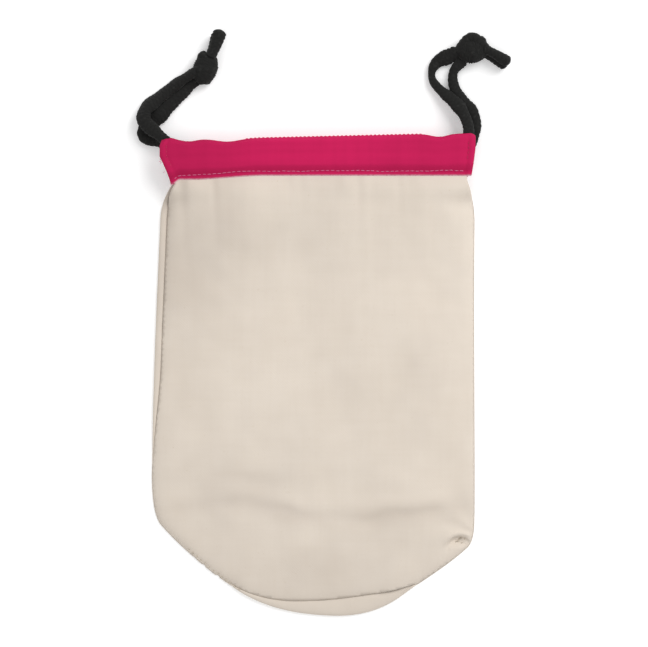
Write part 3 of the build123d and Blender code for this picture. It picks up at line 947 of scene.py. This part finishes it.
def make_front_panel(sizes):
    outer, seam = pouch_edge()
    widths = sliver(outer[:, 0], outer[:, 1])
    top = np.array([(95.6, 127.5), *[(x, 128.0) for x in np.arange(93, -86, -3.0)], (-87.4, 127.5)])
    ring = np.vstack([seam, top])
    vertices, faces = fill_ring(ring, sizes.cloth_grid / MM, (np.array((91.0, -103.5)), 15.0, 0.7))
    height = front_height(vertices[:, 0], vertices[:, 1], seam, widths)
    # the seam allowance, turned in and lying on the back panel
    way = np.gradient(seam, axis=0)
    way /= np.linalg.norm(way, axis=1)[:, None]
    inward = np.stack([-way[:, 1], way[:, 0]], axis=1)
    closed = seam[:, 1] < 112
    steps = ((0.6, 1.3), (1.8, ALLOWANCE_HEIGHT), (SEAM_ALLOWANCE, ALLOWANCE_HEIGHT))
    rows = [np.column_stack([(seam + inward * back)[closed], np.full(closed.sum(), z)]) for back, z in steps]
    allowance = np.vstack(rows)
    sheet = np.column_stack([vertices, height])
    # the cloth's colour is darkened per vertex by painted shade and mottle; the allowance gets an even share
    everything, faces, painted_darkening = joined(
        [
            (sheet, faces, painted_shade_and_mottle(vertices[:, 0], vertices[:, 1])),
            (allowance, grid_faces(3, int(closed.sum())), np.full(len(allowance), 0.3)),
        ]
    )
    piece = make_object("front_panel_cloth", everything, faces, finish(unbleached_calico), {"painted_darkening": painted_darkening})
    thicken(piece, sizes.calico_thickness)
    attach(piece, "bag")
    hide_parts("front_panel")
    return piece


def make_back_panel(sizes):
    outer, seam = pouch_edge()
    inward = seam - outer
    width = np.linalg.norm(inward, axis=1)[:, None]
    inward = inward / width
    # where the panel hardly shows, its rim stays low, under the front one's edge
    shown = 0.36 + 0.64 * smoothstep(width[:, 0], 0.4, 2.6)
    seam_rise = SEAM_HEIGHT * shown * (1 - 0.2 * opened(outer[:, 1]))
    # the rolled rim, from the seam over the outside edge and under: share of the sliver's width outward,
    # then millimetres inward from the edge, and height as a share of the seam's, then millimetres
    profile = [
        (0.0, 0.5, 0.62, 0.0), (0.0, 0.0, 0.74, 0.0), (0.12, 0.0, 0.93, 0.0), (0.3, 0.0, 1.0, 0.0),
        (0.5, 0.0, 1.02, 0.0), (0.68, 0.0, 0.98, 0.0), (0.82, 0.0, 0.9, 0.0), (0.93, 0.0, 0.78, 0.0),
        (0.98, 0.0, 0.64, 0.0), (1.0, 0.0, 0.46, 0.0), (1.0, 0.3, 0.2, 0.2), (1.0, 1.2, 0.02, 0.42),
        (1.0, 3.0, 0.0, FLOOR_CLEARANCE),
    ]
    tuck = np.linspace(TUCK_START, TUCK_END, 37)
    rings = []
    for outward, back, rise, lift in profile:
        place = seam - inward * width * outward + inward * back
        dip = 0.9 * np.exp(-((distance_to(place, tuck) / 0.75) ** 2)) * rise
        swell = 0.16 * cloth_noise(place[:, 0], place[:, 1], 9, 17) * rise
        height = seam_rise * rise + lift - dip + swell * smoothstep(width[:, 0], 1, 4)
        rings.append(np.column_stack([place, height]))
    strip = np.vstack(rings)
    strip_faces = grid_faces(len(profile), len(outer))
    under = rings[-1][:, :2]
    top = np.array([(93.0, 127.0), *[(x, 127.5) for x in np.arange(90, -83, -3.0)], (-84.2, 127.0)])
    vertices, faces = fill_ring(np.vstack([under, top]), 4.0)
    edge_gap = distance_to(vertices, np.vstack([under, top]))
    ripple = 0.12 + 0.12 * cloth_noise(vertices[:, 0], vertices[:, 1], 45, 11)
    # over the back casing's flange the panel lifts a little
    lift = 1.3 * smoothstep(vertices[:, 1], 114, 121) * smoothstep(edge_gap, 0.2, 4)
    height = FLOOR_CLEARANCE + ripple * smoothstep(edge_gap, 0.2, 8) + lift
    sheet = np.column_stack([vertices, height])
    # the rolled rim is darkened by painted shade and mottle; the underside gets an even share
    everything, faces, painted_darkening = joined(
        [
            (strip, strip_faces, 0.25 + 0.6 * painted_shade_and_mottle(strip[:, 0], strip[:, 1])),
            (sheet, [tuple(reversed(face)) for face in faces], np.full(len(sheet), 0.3)),
        ]
    )
    piece = make_object("back_panel_cloth", everything, faces, finish(unbleached_calico), {"painted_darkening": painted_darkening})
    mesh = bmesh.new()
    mesh.from_mesh(piece.data)
    bmesh.ops.remove_doubles(mesh, verts=mesh.verts, dist=0.00002)
    bmesh.ops.recalc_face_normals(mesh, faces=mesh.faces)
    flat = [f for f in mesh.faces if f.calc_center_median().z < 0.0006 and abs(f.normal.z) > 0.9]
    if sum(f.normal.z * f.calc_area() for f in flat) > 0:
        bmesh.ops.reverse_faces(mesh, faces=mesh.faces)
    mesh.to_mesh(piece.data)
    mesh.free()
    piece.data.shade_smooth()
    thicken(piece, sizes.calico_thickness * 0.8)
    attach(piece, "bag")
    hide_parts("back_panel")
    return piece


# ---------------------------------------------------------------------------------------------------------
# The casing


def band_place(share, along, back):
    """Plan position on a casing. share runs from its bottom edge, 0, to its fold, 1; along from its left
    end, 0, to its right end, 1."""
    left = band_left(share)
    right = band_right(share)
    x = left + (right - left) * along
    if back:
        x = x * 0.985
    low = band_low(x)
    high = band_fold(x) + band_top_shift(x, back)
    return x, low + (high - low) * share


def band_top_shift(x, back):
    """How far the back casing's fold shows past the front one's, in millimetres. It shows in the middle."""
    if not back:
        return np.zeros_like(x)
    return -1.2 + 2.3 * smoothstep(x, -50, -42) * (1 - smoothstep(x, 68, 78))


def band_swell(share):
    """How high the band's outer layer stands over its flange, in millimetres, from the cords inside it."""
    rise = smoothstep(share, 0.04, 0.29) * (1 - smoothstep(share, 0.88, 1.03) * 0.75)
    lanes = 0.1 * np.cos((share - 0.39) / 0.30 * 2 * math.pi) * smoothstep(share, 0.2, 0.35)
    return rise * 3.9 + lanes * rise * (1 - smoothstep(share, 0.72, 0.85))


def inner_rise(share, back):
    """How far the inner layer stands from the flange's outside, in millimetres, towards the other casing."""
    if not back:
        return np.full_like(share, 0.9)
    return 0.7 + 4.1 * smoothstep(share, 0.15, 0.35) * (1 - 0.55 * smoothstep(share, 0.85, 1.0))


def casing_surface(outside, seed, back):
    """One casing's cloth: a turned-up lip, the outer layer, the fold along the mouth, and the inner layer,
    which stops short at both ends. outside is the height of the flange's outside. The front casing's outer
    layer stands up over the cords; the back one's lies flat and its inner layer stands up instead."""
    sign = -1.0 if back else 1.0
    along = np.linspace(0, 1, BAND_COLUMNS)
    one = np.ones_like(along)
    outer_end = 0.0 if back else float(band_swell(np.array(1.0)))
    inner_end = -float(inner_rise(np.array(0.97), back))
    # the raw edge shows a little below the turned one, and is frayed pale
    rows = [
        (0.12, -0.8, 0.0), (0.0, -0.8, 1.4), (-0.026, -0.72, 2.2), (-0.028, -0.55, 2.2),
        (-0.004, -0.4, 1.5),
    ]
    lip_rows = len(rows)
    rows += [(share, None, 0.45 if share == 0 else 0.0) for share in np.linspace(0.0, 1.0, 38)]
    rows += [(1.01, outer_end + (inner_end - outer_end) * part, 0.0) for part in (0.3, 0.65)]
    outer_rows = len(rows) - 2
    rows += [(share, "inner", 0.0) for share in np.linspace(0.97, 0.2, 14)]
    vertices, lips = [], []
    for share, height, lip in rows:
        x, y = band_place(share * one, along, back)
        if height is None:
            rise = np.zeros_like(along) if back else band_swell(share * one)
            left = 0.5 + 0.5 * (1 - smoothstep(x, -60, -10))
            ripple = 0.3 * cloth_noise(x, y * 0.5, 24, seed)
            ripple = ripple + 0.34 * left * cloth_noise(x, y * 0.25, 10, seed + 1)
            rise = rise + ripple * smoothstep(share, 0.0, 0.2) * (0.15 if back else 1.0)
            # the stitches pull the flange in, and the turned-in end stands up in a ridge
            rise = rise - 0.25 * np.exp(-(((share - 0.1) / 0.03) ** 2)) * (0 if back else 1)
            gap = np.minimum(x - x[0], x[-1] - x)
            ridge = 0.5 * np.exp(-(((gap - 1.9) / 1.2) ** 2)) - 0.3 * np.exp(-(((gap - 4.3) / 0.9) ** 2))
            rise = rise + ridge * (0 if back else 1)
        elif height == "inner":
            rise = 0.12 * cloth_noise(x, y, 20, seed + 2) - inner_rise(share * one, back)
        else:
            rise = height * one
        if back:
            y = y + 0.35 * smoothstep(share, 0.9, 1.0) * np.cos(x * 2 * math.pi / 2.6)
        vertices.append(np.column_stack([x, y, outside + sign * rise]))
        lips.append(lip * one)
    faces = []
    grid = np.vstack(vertices)
    for face in grid_faces(len(rows), BAND_COLUMNS):
        row = face[0] // BAND_COLUMNS
        if row >= outer_rows - 1 and not INNER_LEFT < grid[face[0], 0] < INNER_RIGHT:
            continue
        faces.append(tuple(reversed(face)) if back else face)
    return turn_in_ends(grid, faces, np.concatenate(lips), range(lip_rows, outer_rows), sign)


def turn_in_ends(grid, faces, values, rows, sign):
    """Fold the outer layer's raw ends under, about 2 mm deep."""
    extra, extra_faces, extra_values = [], [], []
    first = len(grid)
    for column, way in ((0, -1.0), (BAND_COLUMNS - 1, 1.0)):
        picks = [row * BAND_COLUMNS + column for row in rows]
        for out, drop in ((0.25, -0.45), (-0.6, -0.85), (-2.2, -0.8)):
            extra.append(grid[picks] + np.array((way * out, 0.0, sign * drop)))
            extra_values.append(np.full(len(picks), 0.25))
        rings = [picks] + [[first + k * len(picks) + i for i in range(len(picks))] for k in range(3)]
        for near, far in zip(rings, rings[1:]):
            for i in range(len(picks) - 1):
                face = (near[i], near[i + 1], far[i + 1], far[i])
                extra_faces.append(face if (way < 0) == (sign > 0) else tuple(reversed(face)))
        first += 3 * len(picks)
    return np.vstack([grid, *extra]), faces + extra_faces, np.concatenate([values, *extra_values])


def make_casing(name, node, outside, seed, back, sizes):
    grid, faces, values = casing_surface(outside, seed, back)
    # painted shade: the band darkens towards its left end, and a little towards its right end
    painted_end_shade = 0.55 * (1 - smoothstep(grid[:, 0], -95, -15)) + 0.2 * smoothstep(grid[:, 0], 40, 100)
    piece = make_object(name, grid, faces, finish(dyed_cotton), {"frayed_edge": values, "shaded": painted_end_shade})
    mesh = bmesh.new()
    mesh.from_mesh(piece.data)
    bmesh.ops.delete(mesh, geom=[v for v in mesh.verts if not v.link_faces], context="VERTS")
    mesh.to_mesh(piece.data)
    mesh.free()
    piece.data.shade_smooth()
    thicken(piece, sizes.band_thickness)
    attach(piece, "bag")
    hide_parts(node)
    return piece


# ---------------------------------------------------------------------------------------------------------
# Threads


def thread_piece(name, nodes, parts, material):
    vertices, faces, _ = joined(parts)
    piece = make_object(name, vertices, faces, material)
    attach(piece, "bag")
    if nodes:
        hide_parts(*nodes)
    return piece


def stitches_along(line, heights, length, pitch, width, rng, wander=0.12, lift=0.12):
    """Stitches end to end along a plan line, each a little off the line and a little off its length."""
    gaps = np.linalg.norm(np.diff(line, axis=0), axis=1)
    along = np.concatenate([[0], np.cumsum(gaps)])
    parts = []
    place = pitch / 2
    while place + length < along[-1]:
        own = length * rng.uniform(0.88, 1.08)
        ends = []
        for at in (place, place + own):
            x, y, z = (np.interp(at, along, values) for values in (line[:, 0], line[:, 1], heights))
            ends.append((x, y + rng.uniform(-wander, wander), z))
        parts.append(capsule(ends[0], ends[1], lift, width, width * 0.8, rng.uniform(-0.1, 0.1)))
        place += pitch * rng.uniform(0.95, 1.05)
    return parts


def make_topstitches(sizes):
    rng = random.Random(21)
    width = sizes.thread_width / MM * 1.15
    length, pitch = sizes.stitch_length / MM, sizes.stitch_pitch / MM
    for name, node, outside, back in (
        ("front_topstitch_thread", "front_topstitch", FRONT_FLANGE + 0.08, False),
        ("back_topstitch_thread", "back_topstitch", BACK_FLANGE - 0.1, True),
    ):
        x = np.linspace(-88.0, 96.6, 400)
        wave = 0.25 * np.sin(x / 11.0) + 0.15 * np.sin(x / 4.1)
        y = band_low(x) + 2.4 + wave
        line = np.column_stack([x, y])
        share = (y - band_low(x)) / (band_fold(x) - band_low(x))
        heights = outside + (0 if back else band_swell(share) - 0.12) + 0 * x
        parts = stitches_along(line, heights, length, pitch, width, rng, lift=-0.1 if back else 0.12)
        if not back:
            # sewn back over itself near the left end, where the seam was started
            again = (x > -75) & (x < -58)
            second_line = line[again] + (0.8, 1.1)
            parts += stitches_along(second_line, heights[again] + 0.35, length, pitch, width, rng)
        thread_piece(name, [node], parts, finish(topstitch_thread))


def make_hems(sizes):
    rng = random.Random(22)
    width = sizes.thread_width / MM
    for layer, outside, back in (("front", FRONT_FLANGE, False), ("back", BACK_FLANGE, True)):
        for side, end_at, inset in (("left", band_left, 4.0), ("right", band_right, -4.0)):
            share = np.linspace(0.32, 0.92, 60)
            x = end_at(share) + inset
            low, high = band_low(x), band_fold(x)
            y = low + (high - low) * share
            height = outside - 0.1 + np.zeros_like(x) if back else outside + 0.05 + band_swell(share)
            lift = -0.08 if back else 0.08
            line = np.column_stack([x, y])
            parts = stitches_along(line, height, 2.0, 3.0, width * 0.8, rng, 0.05, lift)
            node = f"{layer}_casing_{side}_hem"
            thread_piece(node + "_thread", [node], parts, finish(hem_thread))


def make_seam_threads(sizes):
    rng = random.Random(23)
    outer, seam = pouch_edge()
    way = np.gradient(seam, axis=0)
    way /= np.linalg.norm(way, axis=1)[:, None]
    inward = np.stack([-way[:, 1], way[:, 0]], axis=1)
    closed = seam[:, 1] < 112
    width = sizes.thread_width / MM
    inside = (seam + inward * 4.2)[closed]
    parts = stitches_along(inside, np.full(len(inside), ALLOWANCE_HEIGHT + 0.1), 2.5, 4.0, width, rng)
    # the few stitches that show outside, where the seam rolls up at the round end's left
    shown = closed & (outer[:, 0] > -81) & (outer[:, 0] < -46) & (outer[:, 1] < -104)
    rim = (outer + inward * 1.3)[shown]
    parts += stitches_along(rim, np.full(len(rim), SEAM_HEIGHT - 0.25), 1.5, 3.4, width * 1.1, rng, 0.1)
    thread_piece("closing_seam_stitches", ["closing_seam_thread"], parts, finish(seam_thread))
    # the overlock's loops, a zigzag over the allowance's raw edge
    edge = (seam + inward * SEAM_ALLOWANCE)[closed]
    outward = inward[closed]
    along = np.concatenate([[0], np.cumsum(np.linalg.norm(np.diff(edge, axis=0), axis=1))])
    turns = np.arange(0, along[-1], 1.15)
    parts = []
    for number, at in enumerate(turns[:-1]):
        ends = []
        for place, shift in ((at, -0.9), (at + 1.15, 0.7)):
            x, y = (np.interp(place, along, edge[:, i]) for i in (0, 1))
            nx, ny = (np.interp(place, along, outward[:, i]) for i in (0, 1))
            shift = shift if number % 2 else -0.2 - shift
            ends.append((x + nx * shift, y + ny * shift, ALLOWANCE_HEIGHT + 0.12))
        parts.append(capsule(ends[0], ends[1], 0.1, width * 0.7, width * 0.6))
    thread_piece("overlock_stitches", ["overlock_thread"], parts, finish(seam_thread))


def make_loose_threads():
    """Frayed ends at the band's left edge and short fluff along its lower edge."""
    rng = random.Random(24)
    parts = []
    for x, y, z, angle, length in (
        (-94.3, 133.9, 17.0, 200, 1.9), (-94.0, 134.6, 17.0, 160, 1.7), (-94.1, 133.0, 16.8, 235, 1.6),
        (-92.4, 127.6, 15.2, 215, 1.5),
    ):
        turn = math.radians(angle)
        end = (x + length * math.cos(turn), y + length * math.sin(turn), z - 0.6)
        parts.append(capsule((x, y, z), end, 0.42, 0.42, 0.3, rng.uniform(-0.5, 0.5)))
    for _ in range(70):
        x = rng.uniform(-86, 97)
        y = float(band_low(x)) - rng.uniform(0.0, 0.35)
        angle = math.radians(rng.uniform(200, 340))
        length = rng.uniform(0.5, 1.3)
        end = (x + length * math.cos(angle), y + length * math.sin(angle) * 0.6, FRONT_FLANGE - 0.9)
        parts.append(capsule((x, y + 0.4, FRONT_FLANGE - 0.35), end, 0.1, 0.16, 0.16, 0.1))
    thread_piece("frayed_edge_threads", [], parts, finish(fray_thread))


# ---------------------------------------------------------------------------------------------------------
# Drawcords


def cord_piece(name, body, nodes, parts):
    vertices, faces, crowns = joined(parts)
    # the soft cord flattens where it rests
    vertices[:, 2] = np.maximum(vertices[:, 2], REST_HEIGHT)
    piece = make_object(name, vertices, faces, finish(braided_cotton), {"strand_crown": crowns})
    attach(piece, body)
    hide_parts(*nodes)
    return piece


def leg_widths(name, count, total, radius, flat):
    """Half width and half height along a leg: flattened where it leaves its tunnel, round after that."""
    along = np.linspace(0, total, count)
    round_share = smoothstep(along, 5, 18)
    swell = np.interp(along / total, *np.array(LEG_SWELL[name]).T)
    slack = 1 + 0.05 * np.sin(along / 3.1) + 0.04 * np.sin(along / 1.7 + 1)
    width = (flat + (swell - flat) * round_share) * slack
    height = (RUN_HALF_HEIGHT + (radius * 0.87 - RUN_HALF_HEIGHT) * round_share) * slack
    return width, height


def make_legs(sizes):
    legs = {}
    radius = sizes.cord_diameter / MM / 2
    for number, (name, route) in enumerate(LEG_ROUTES.items()):
        side, layer = name.split("_")
        line = line_of(route, CORD_STEP)
        total = float(np.linalg.norm(np.diff(line, axis=0), axis=1).sum())
        width, height = leg_widths(name, len(line), total, radius, RUN_HALF_WIDTH)
        skin = braid_surface(line, width, height, sizes.braid_strands, number * 3)
        piece = cord_piece(f"{name}_leg_cord", f"{side}_drawcord", [f"{side}_drawcord_{layer}_leg"], [skin])
        legs[name] = (piece, [tuple(point) for point in line * MM])
    return legs


def knot_turns(centre, half_length, half_width, axis, turns, radius):
    """A line that winds round a knot's long axis, in metres."""
    share = np.linspace(0, 1, 26)
    angle = 2 * math.pi * turns * share + math.pi
    along = (share - 0.5) * 2 * (half_length - radius)
    across = (half_width - radius) * np.cos(angle) * (1 - 0.25 * np.abs(share * 2 - 1) ** 3)
    turn = math.radians(axis)
    x = centre[0] + along * math.cos(turn) - across * math.sin(turn)
    y = centre[1] + along * math.sin(turn) + across * math.cos(turn)
    z = KNOT_HEIGHT + 2.9 * np.sin(angle)
    return [tuple(point) for point in np.column_stack([x, y, z]) * MM]


def make_knots(sizes):
    """Each knot is both legs wound round together. One thick strand stands for the pair in each turn."""
    radius = sizes.cord_diameter / MM / 2 * 1.17
    knots = {}
    for number, (side, (centre, half_length, half_width, axis, turns)) in enumerate(KNOTS.items()):
        seed = 20 + 5 * number
        parts = []
        lines = [knot_turns(centre, half_length, half_width, axis, turns, radius)]
        if side == "right":
            lines.append(RIGHT_KNOT_BIGHT)
        for turn, points in enumerate(lines):
            line = line_of(points, CORD_STEP)
            parts.append(braid_surface(line, radius, radius * 0.95, sizes.braid_strands, seed + turn, True))
        # the turns' insides, pressed together: one swollen strand along the knot's axis
        turn = math.radians(axis)
        reach = half_length - 0.5
        ends = [
            ((centre[0] + d * math.cos(turn)) * MM, (centre[1] + d * math.sin(turn)) * MM, KNOT_HEIGHT * MM)
            for d in np.linspace(-reach, reach, 7)
        ]
        line = line_of(ends, CORD_STEP)
        bulge = np.sqrt(np.clip(1 - np.linspace(-1, 1, len(line)) ** 2, 0.05, 1))
        width, height = (half_width - 0.2) * bulge, 5.8 * bulge
        parts.append(braid_surface(line, width, height, sizes.braid_strands * 2, seed + 4, True))
        knots[side] = cord_piece(f"{side}_knot_cord", f"{side}_drawcord", [f"{side}_knot"], parts)
    return knots


def make_tails(sizes):
    radius = sizes.cord_diameter / MM / 2
    tails = {"left": [], "right": []}
    for number, (side, route) in enumerate(TAIL_ROUTES.items()):
        for layer, height in TAIL_HEIGHTS.items():
            shift = 0.0007 if layer == "front" else -0.0007
            points = [(x + shift, y + shift, z + height) for x, y, z in route]
            line = line_of(points, CORD_STEP)
            share = np.linspace(0, 1, len(line))
            narrow, wide = TAIL_FLARES[side]
            width = radius * (narrow + (wide - narrow) * smoothstep(share, 0.2, 0.9))
            tallness = radius * 1.02 * np.ones(len(line))
            skin = braid_surface(line, width, tallness, sizes.braid_strands, 40 + number)
            name = f"{side}_{layer}_tail"
            tails[side].append(cord_piece(name + "_cord", f"{side}_drawcord", [name], [skin]))
    return tails


def make_runs(sizes):
    """The flattened stretches in the tunnels, and the bends between them at the far ends."""
    for number, (side, way) in enumerate((("left", 1.0), ("right", -1.0))):
        for layer, height in (("front", FRONT_RUN_Z), ("back", BACK_RUN_Z)):
            node = f"{side}_drawcord_{layer}_run"
            low, high = node_box(node)
            y = (low[1] + high[1]) / 2
            x = np.linspace(low[0] - 1.4, high[0] + 1.4, 8)  # each end reaches into the next stretch
            sway = 0.25 * np.sin(x / 17.0 + number) + RUN_SHIFTS[side] * (1 - smoothstep(np.abs(x), 78.5, 84))
            route = [(a * MM, (y + b) * MM, height * MM) for a, b in zip(x, sway)]
            line = line_of(route, CORD_STEP)
            skin = braid_surface(
                line, RUN_HALF_WIDTH, RUN_HALF_HEIGHT, sizes.braid_strands, 60 + number, True
            )
            cord_piece(f"{side}_{layer}_run_cord", f"{side}_drawcord", [node], [skin])
        node = f"{side}_drawcord_far_turn"
        low, high = node_box(node)
        start = low[0] if way > 0 else high[0]
        y = (low[1] + high[1]) / 2
        middle, reach = (FRONT_RUN_Z + BACK_RUN_Z) / 2, (FRONT_RUN_Z - BACK_RUN_Z) / 2
        angles = np.linspace(math.pi / 2, -math.pi / 2, 9)
        route = [
            ((start + way * reach * math.cos(t)) * MM, y * MM, (middle + reach * math.sin(t)) * MM)
            for t in angles
        ]
        line = line_of(route, CORD_STEP)
        skin = braid_surface(line, RUN_HALF_WIDTH, RUN_HALF_HEIGHT, sizes.braid_strands, 70 + number, True)
        cord_piece(f"{side}_far_turn_cord", "bag", [node], [skin])


# ---------------------------------------------------------------------------------------------------------
# Stage


def make_stage():
    floor_mesh = bpy.data.meshes.new("floor")
    reach = 3.0
    floor_mesh.from_pydata(
        [(-reach, -reach, 0.0), (reach, -reach, 0.0), (reach, reach, 0.0), (-reach, reach, 0.0)],
        [],
        [(0, 1, 2, 3)],
    )
    floor_mesh.materials.append(finish(lit_acrylic))
    floor = bpy.data.objects.new("floor", floor_mesh)
    bpy.context.scene.collection.objects.link(floor)
    for name, place, size, power in (
        ("key_light", (0.95, 1.05, 1.3), 1.1, 21.0),
        ("fill_light", (-0.8, -0.9, 1.8), 1.8, 10.0),
    ):
        light = bpy.data.lights.new(name, "AREA")
        light.size = size
        light.energy = power
        lamp = bpy.data.objects.new(name, light)
        lamp.location = place
        lamp.rotation_euler = (Vector((0, 0, 0)) - Vector(place)).to_track_quat("-Z", "Y").to_euler()
        bpy.context.scene.collection.objects.link(lamp)
    world = bpy.data.worlds.new("soft_sky")
    world.use_nodes = True
    background = world.node_tree.nodes["Background"]
    background.inputs["Color"].default_value = hex_to_linear("#ffffff")
    background.inputs["Strength"].default_value = 0.52
    bpy.context.scene.world = world
    bpy.context.scene.view_settings.view_transform = "Standard"
    camera_data = bpy.data.cameras.new("camera")
    camera_data.lens = 133.1
    camera_data.sensor_width = 36.0
    camera = bpy.data.objects.new("camera", camera_data)
    camera.location = (0.0069, 0.0325, 1.508)
    bpy.context.scene.collection.objects.link(camera)
    bpy.context.scene.camera = camera


# ---------------------------------------------------------------------------------------------------------
# Operators and panel


class PROJECTBAG_OT_stage(bpy.types.Operator):
    """Make the floor, the soft light and the camera over the bag"""

    bl_idname = "projectbag.stage"
    bl_label = "Stage and Camera"

    def execute(self, context):
        make_stage()
        return {"FINISHED"}


class PROJECTBAG_OT_cords(bpy.types.Operator):
    """Make both drawcords' legs, knots and tails"""

    bl_idname = "projectbag.cords"
    bl_label = "Drawcord Legs, Knots and Tails"

    def execute(self, context):
        sizes = context.scene.bag_sizes
        make_legs(sizes)
        make_knots(sizes)
        make_tails(sizes)
        return {"FINISHED"}


class PROJECTBAG_OT_runs(bpy.types.Operator):
    """Make the drawcords' flattened runs and far bends in the tunnels"""

    bl_idname = "projectbag.runs"
    bl_label = "Drawcord Runs"

    def execute(self, context):
        make_runs(context.scene.bag_sizes)
        return {"FINISHED"}


class PROJECTBAG_OT_panels(bpy.types.Operator):
    """Make the pouch's back and front panels"""

    bl_idname = "projectbag.panels"
    bl_label = "Calico Panels"

    def execute(self, context):
        sizes = context.scene.bag_sizes
        make_back_panel(sizes)
        make_front_panel(sizes)
        return {"FINISHED"}


class PROJECTBAG_OT_casings(bpy.types.Operator):
    """Make the two bright casings round the mouth"""

    bl_idname = "projectbag.casings"
    bl_label = "Casings"

    def execute(self, context):
        sizes = context.scene.bag_sizes
        make_casing("front_casing_cloth", "front_casing", FRONT_FLANGE, 31, False, sizes)
        make_casing("back_casing_cloth", "back_casing", BACK_FLANGE, 35, True, sizes)
        return {"FINISHED"}


class PROJECTBAG_OT_casing_stitches(bpy.types.Operator):
    """Make the topstitch and the end hems on both casings"""

    bl_idname = "projectbag.casing_stitches"
    bl_label = "Casing Stitches"

    def execute(self, context):
        sizes = context.scene.bag_sizes
        make_topstitches(sizes)
        make_hems(sizes)
        return {"FINISHED"}


class PROJECTBAG_OT_seam_stitches(bpy.types.Operator):
    """Make the closing seam and the overlock inside the pouch"""

    bl_idname = "projectbag.seam_stitches"
    bl_label = "Seam Stitches"

    def execute(self, context):
        make_seam_threads(context.scene.bag_sizes)
        return {"FINISHED"}


class PROJECTBAG_OT_loose_threads(bpy.types.Operator):
    """Make the frayed ends at the casing's raw edges"""

    bl_idname = "projectbag.loose_threads"
    bl_label = "Loose Threads"

    def execute(self, context):
        make_loose_threads()
        return {"FINISHED"}


OPERATORS = (
    PROJECTBAG_OT_stage,
    PROJECTBAG_OT_cords,
    PROJECTBAG_OT_runs,
    PROJECTBAG_OT_panels,
    PROJECTBAG_OT_casings,
    PROJECTBAG_OT_casing_stitches,
    PROJECTBAG_OT_seam_stitches,
    PROJECTBAG_OT_loose_threads,
)


class PROJECTBAG_PT_sidebar(bpy.types.Panel):
    """The bag's sizes, colours and pieces"""

    bl_label = "Project Bag"
    bl_idname = "PROJECTBAG_PT_sidebar"
    bl_space_type = "VIEW_3D"
    bl_region_type = "UI"
    bl_category = "Project Bag"

    def draw(self, context):
        for group in (context.scene.bag_sizes, context.scene.bag_colours):
            box = self.layout.box()
            for name in group.bl_rna.properties.keys():
                if name not in ("rna_type", "name"):
                    box.prop(group, name)
        column = self.layout.column()
        for operator in OPERATORS:
            column.operator(operator.bl_idname)


CLASSES = (BagSizes, BagColours, *OPERATORS, PROJECTBAG_PT_sidebar)


def register():
    for item in CLASSES:
        bpy.utils.register_class(item)
    bpy.types.Scene.bag_sizes = PointerProperty(type=BagSizes)
    bpy.types.Scene.bag_colours = PointerProperty(type=BagColours)


def unregister():
    del bpy.types.Scene.bag_colours
    del bpy.types.Scene.bag_sizes
    for item in reversed(CLASSES):
        bpy.utils.unregister_class(item)


def main():
    register()
    for operator in OPERATORS:
        group, name = operator.bl_idname.split(".")
        result = getattr(getattr(bpy.ops, group), name)()
        if result != {"FINISHED"}:
            raise RuntimeError(f"{operator.bl_idname} didn't finish")


if __name__ == "__main__":
    main()
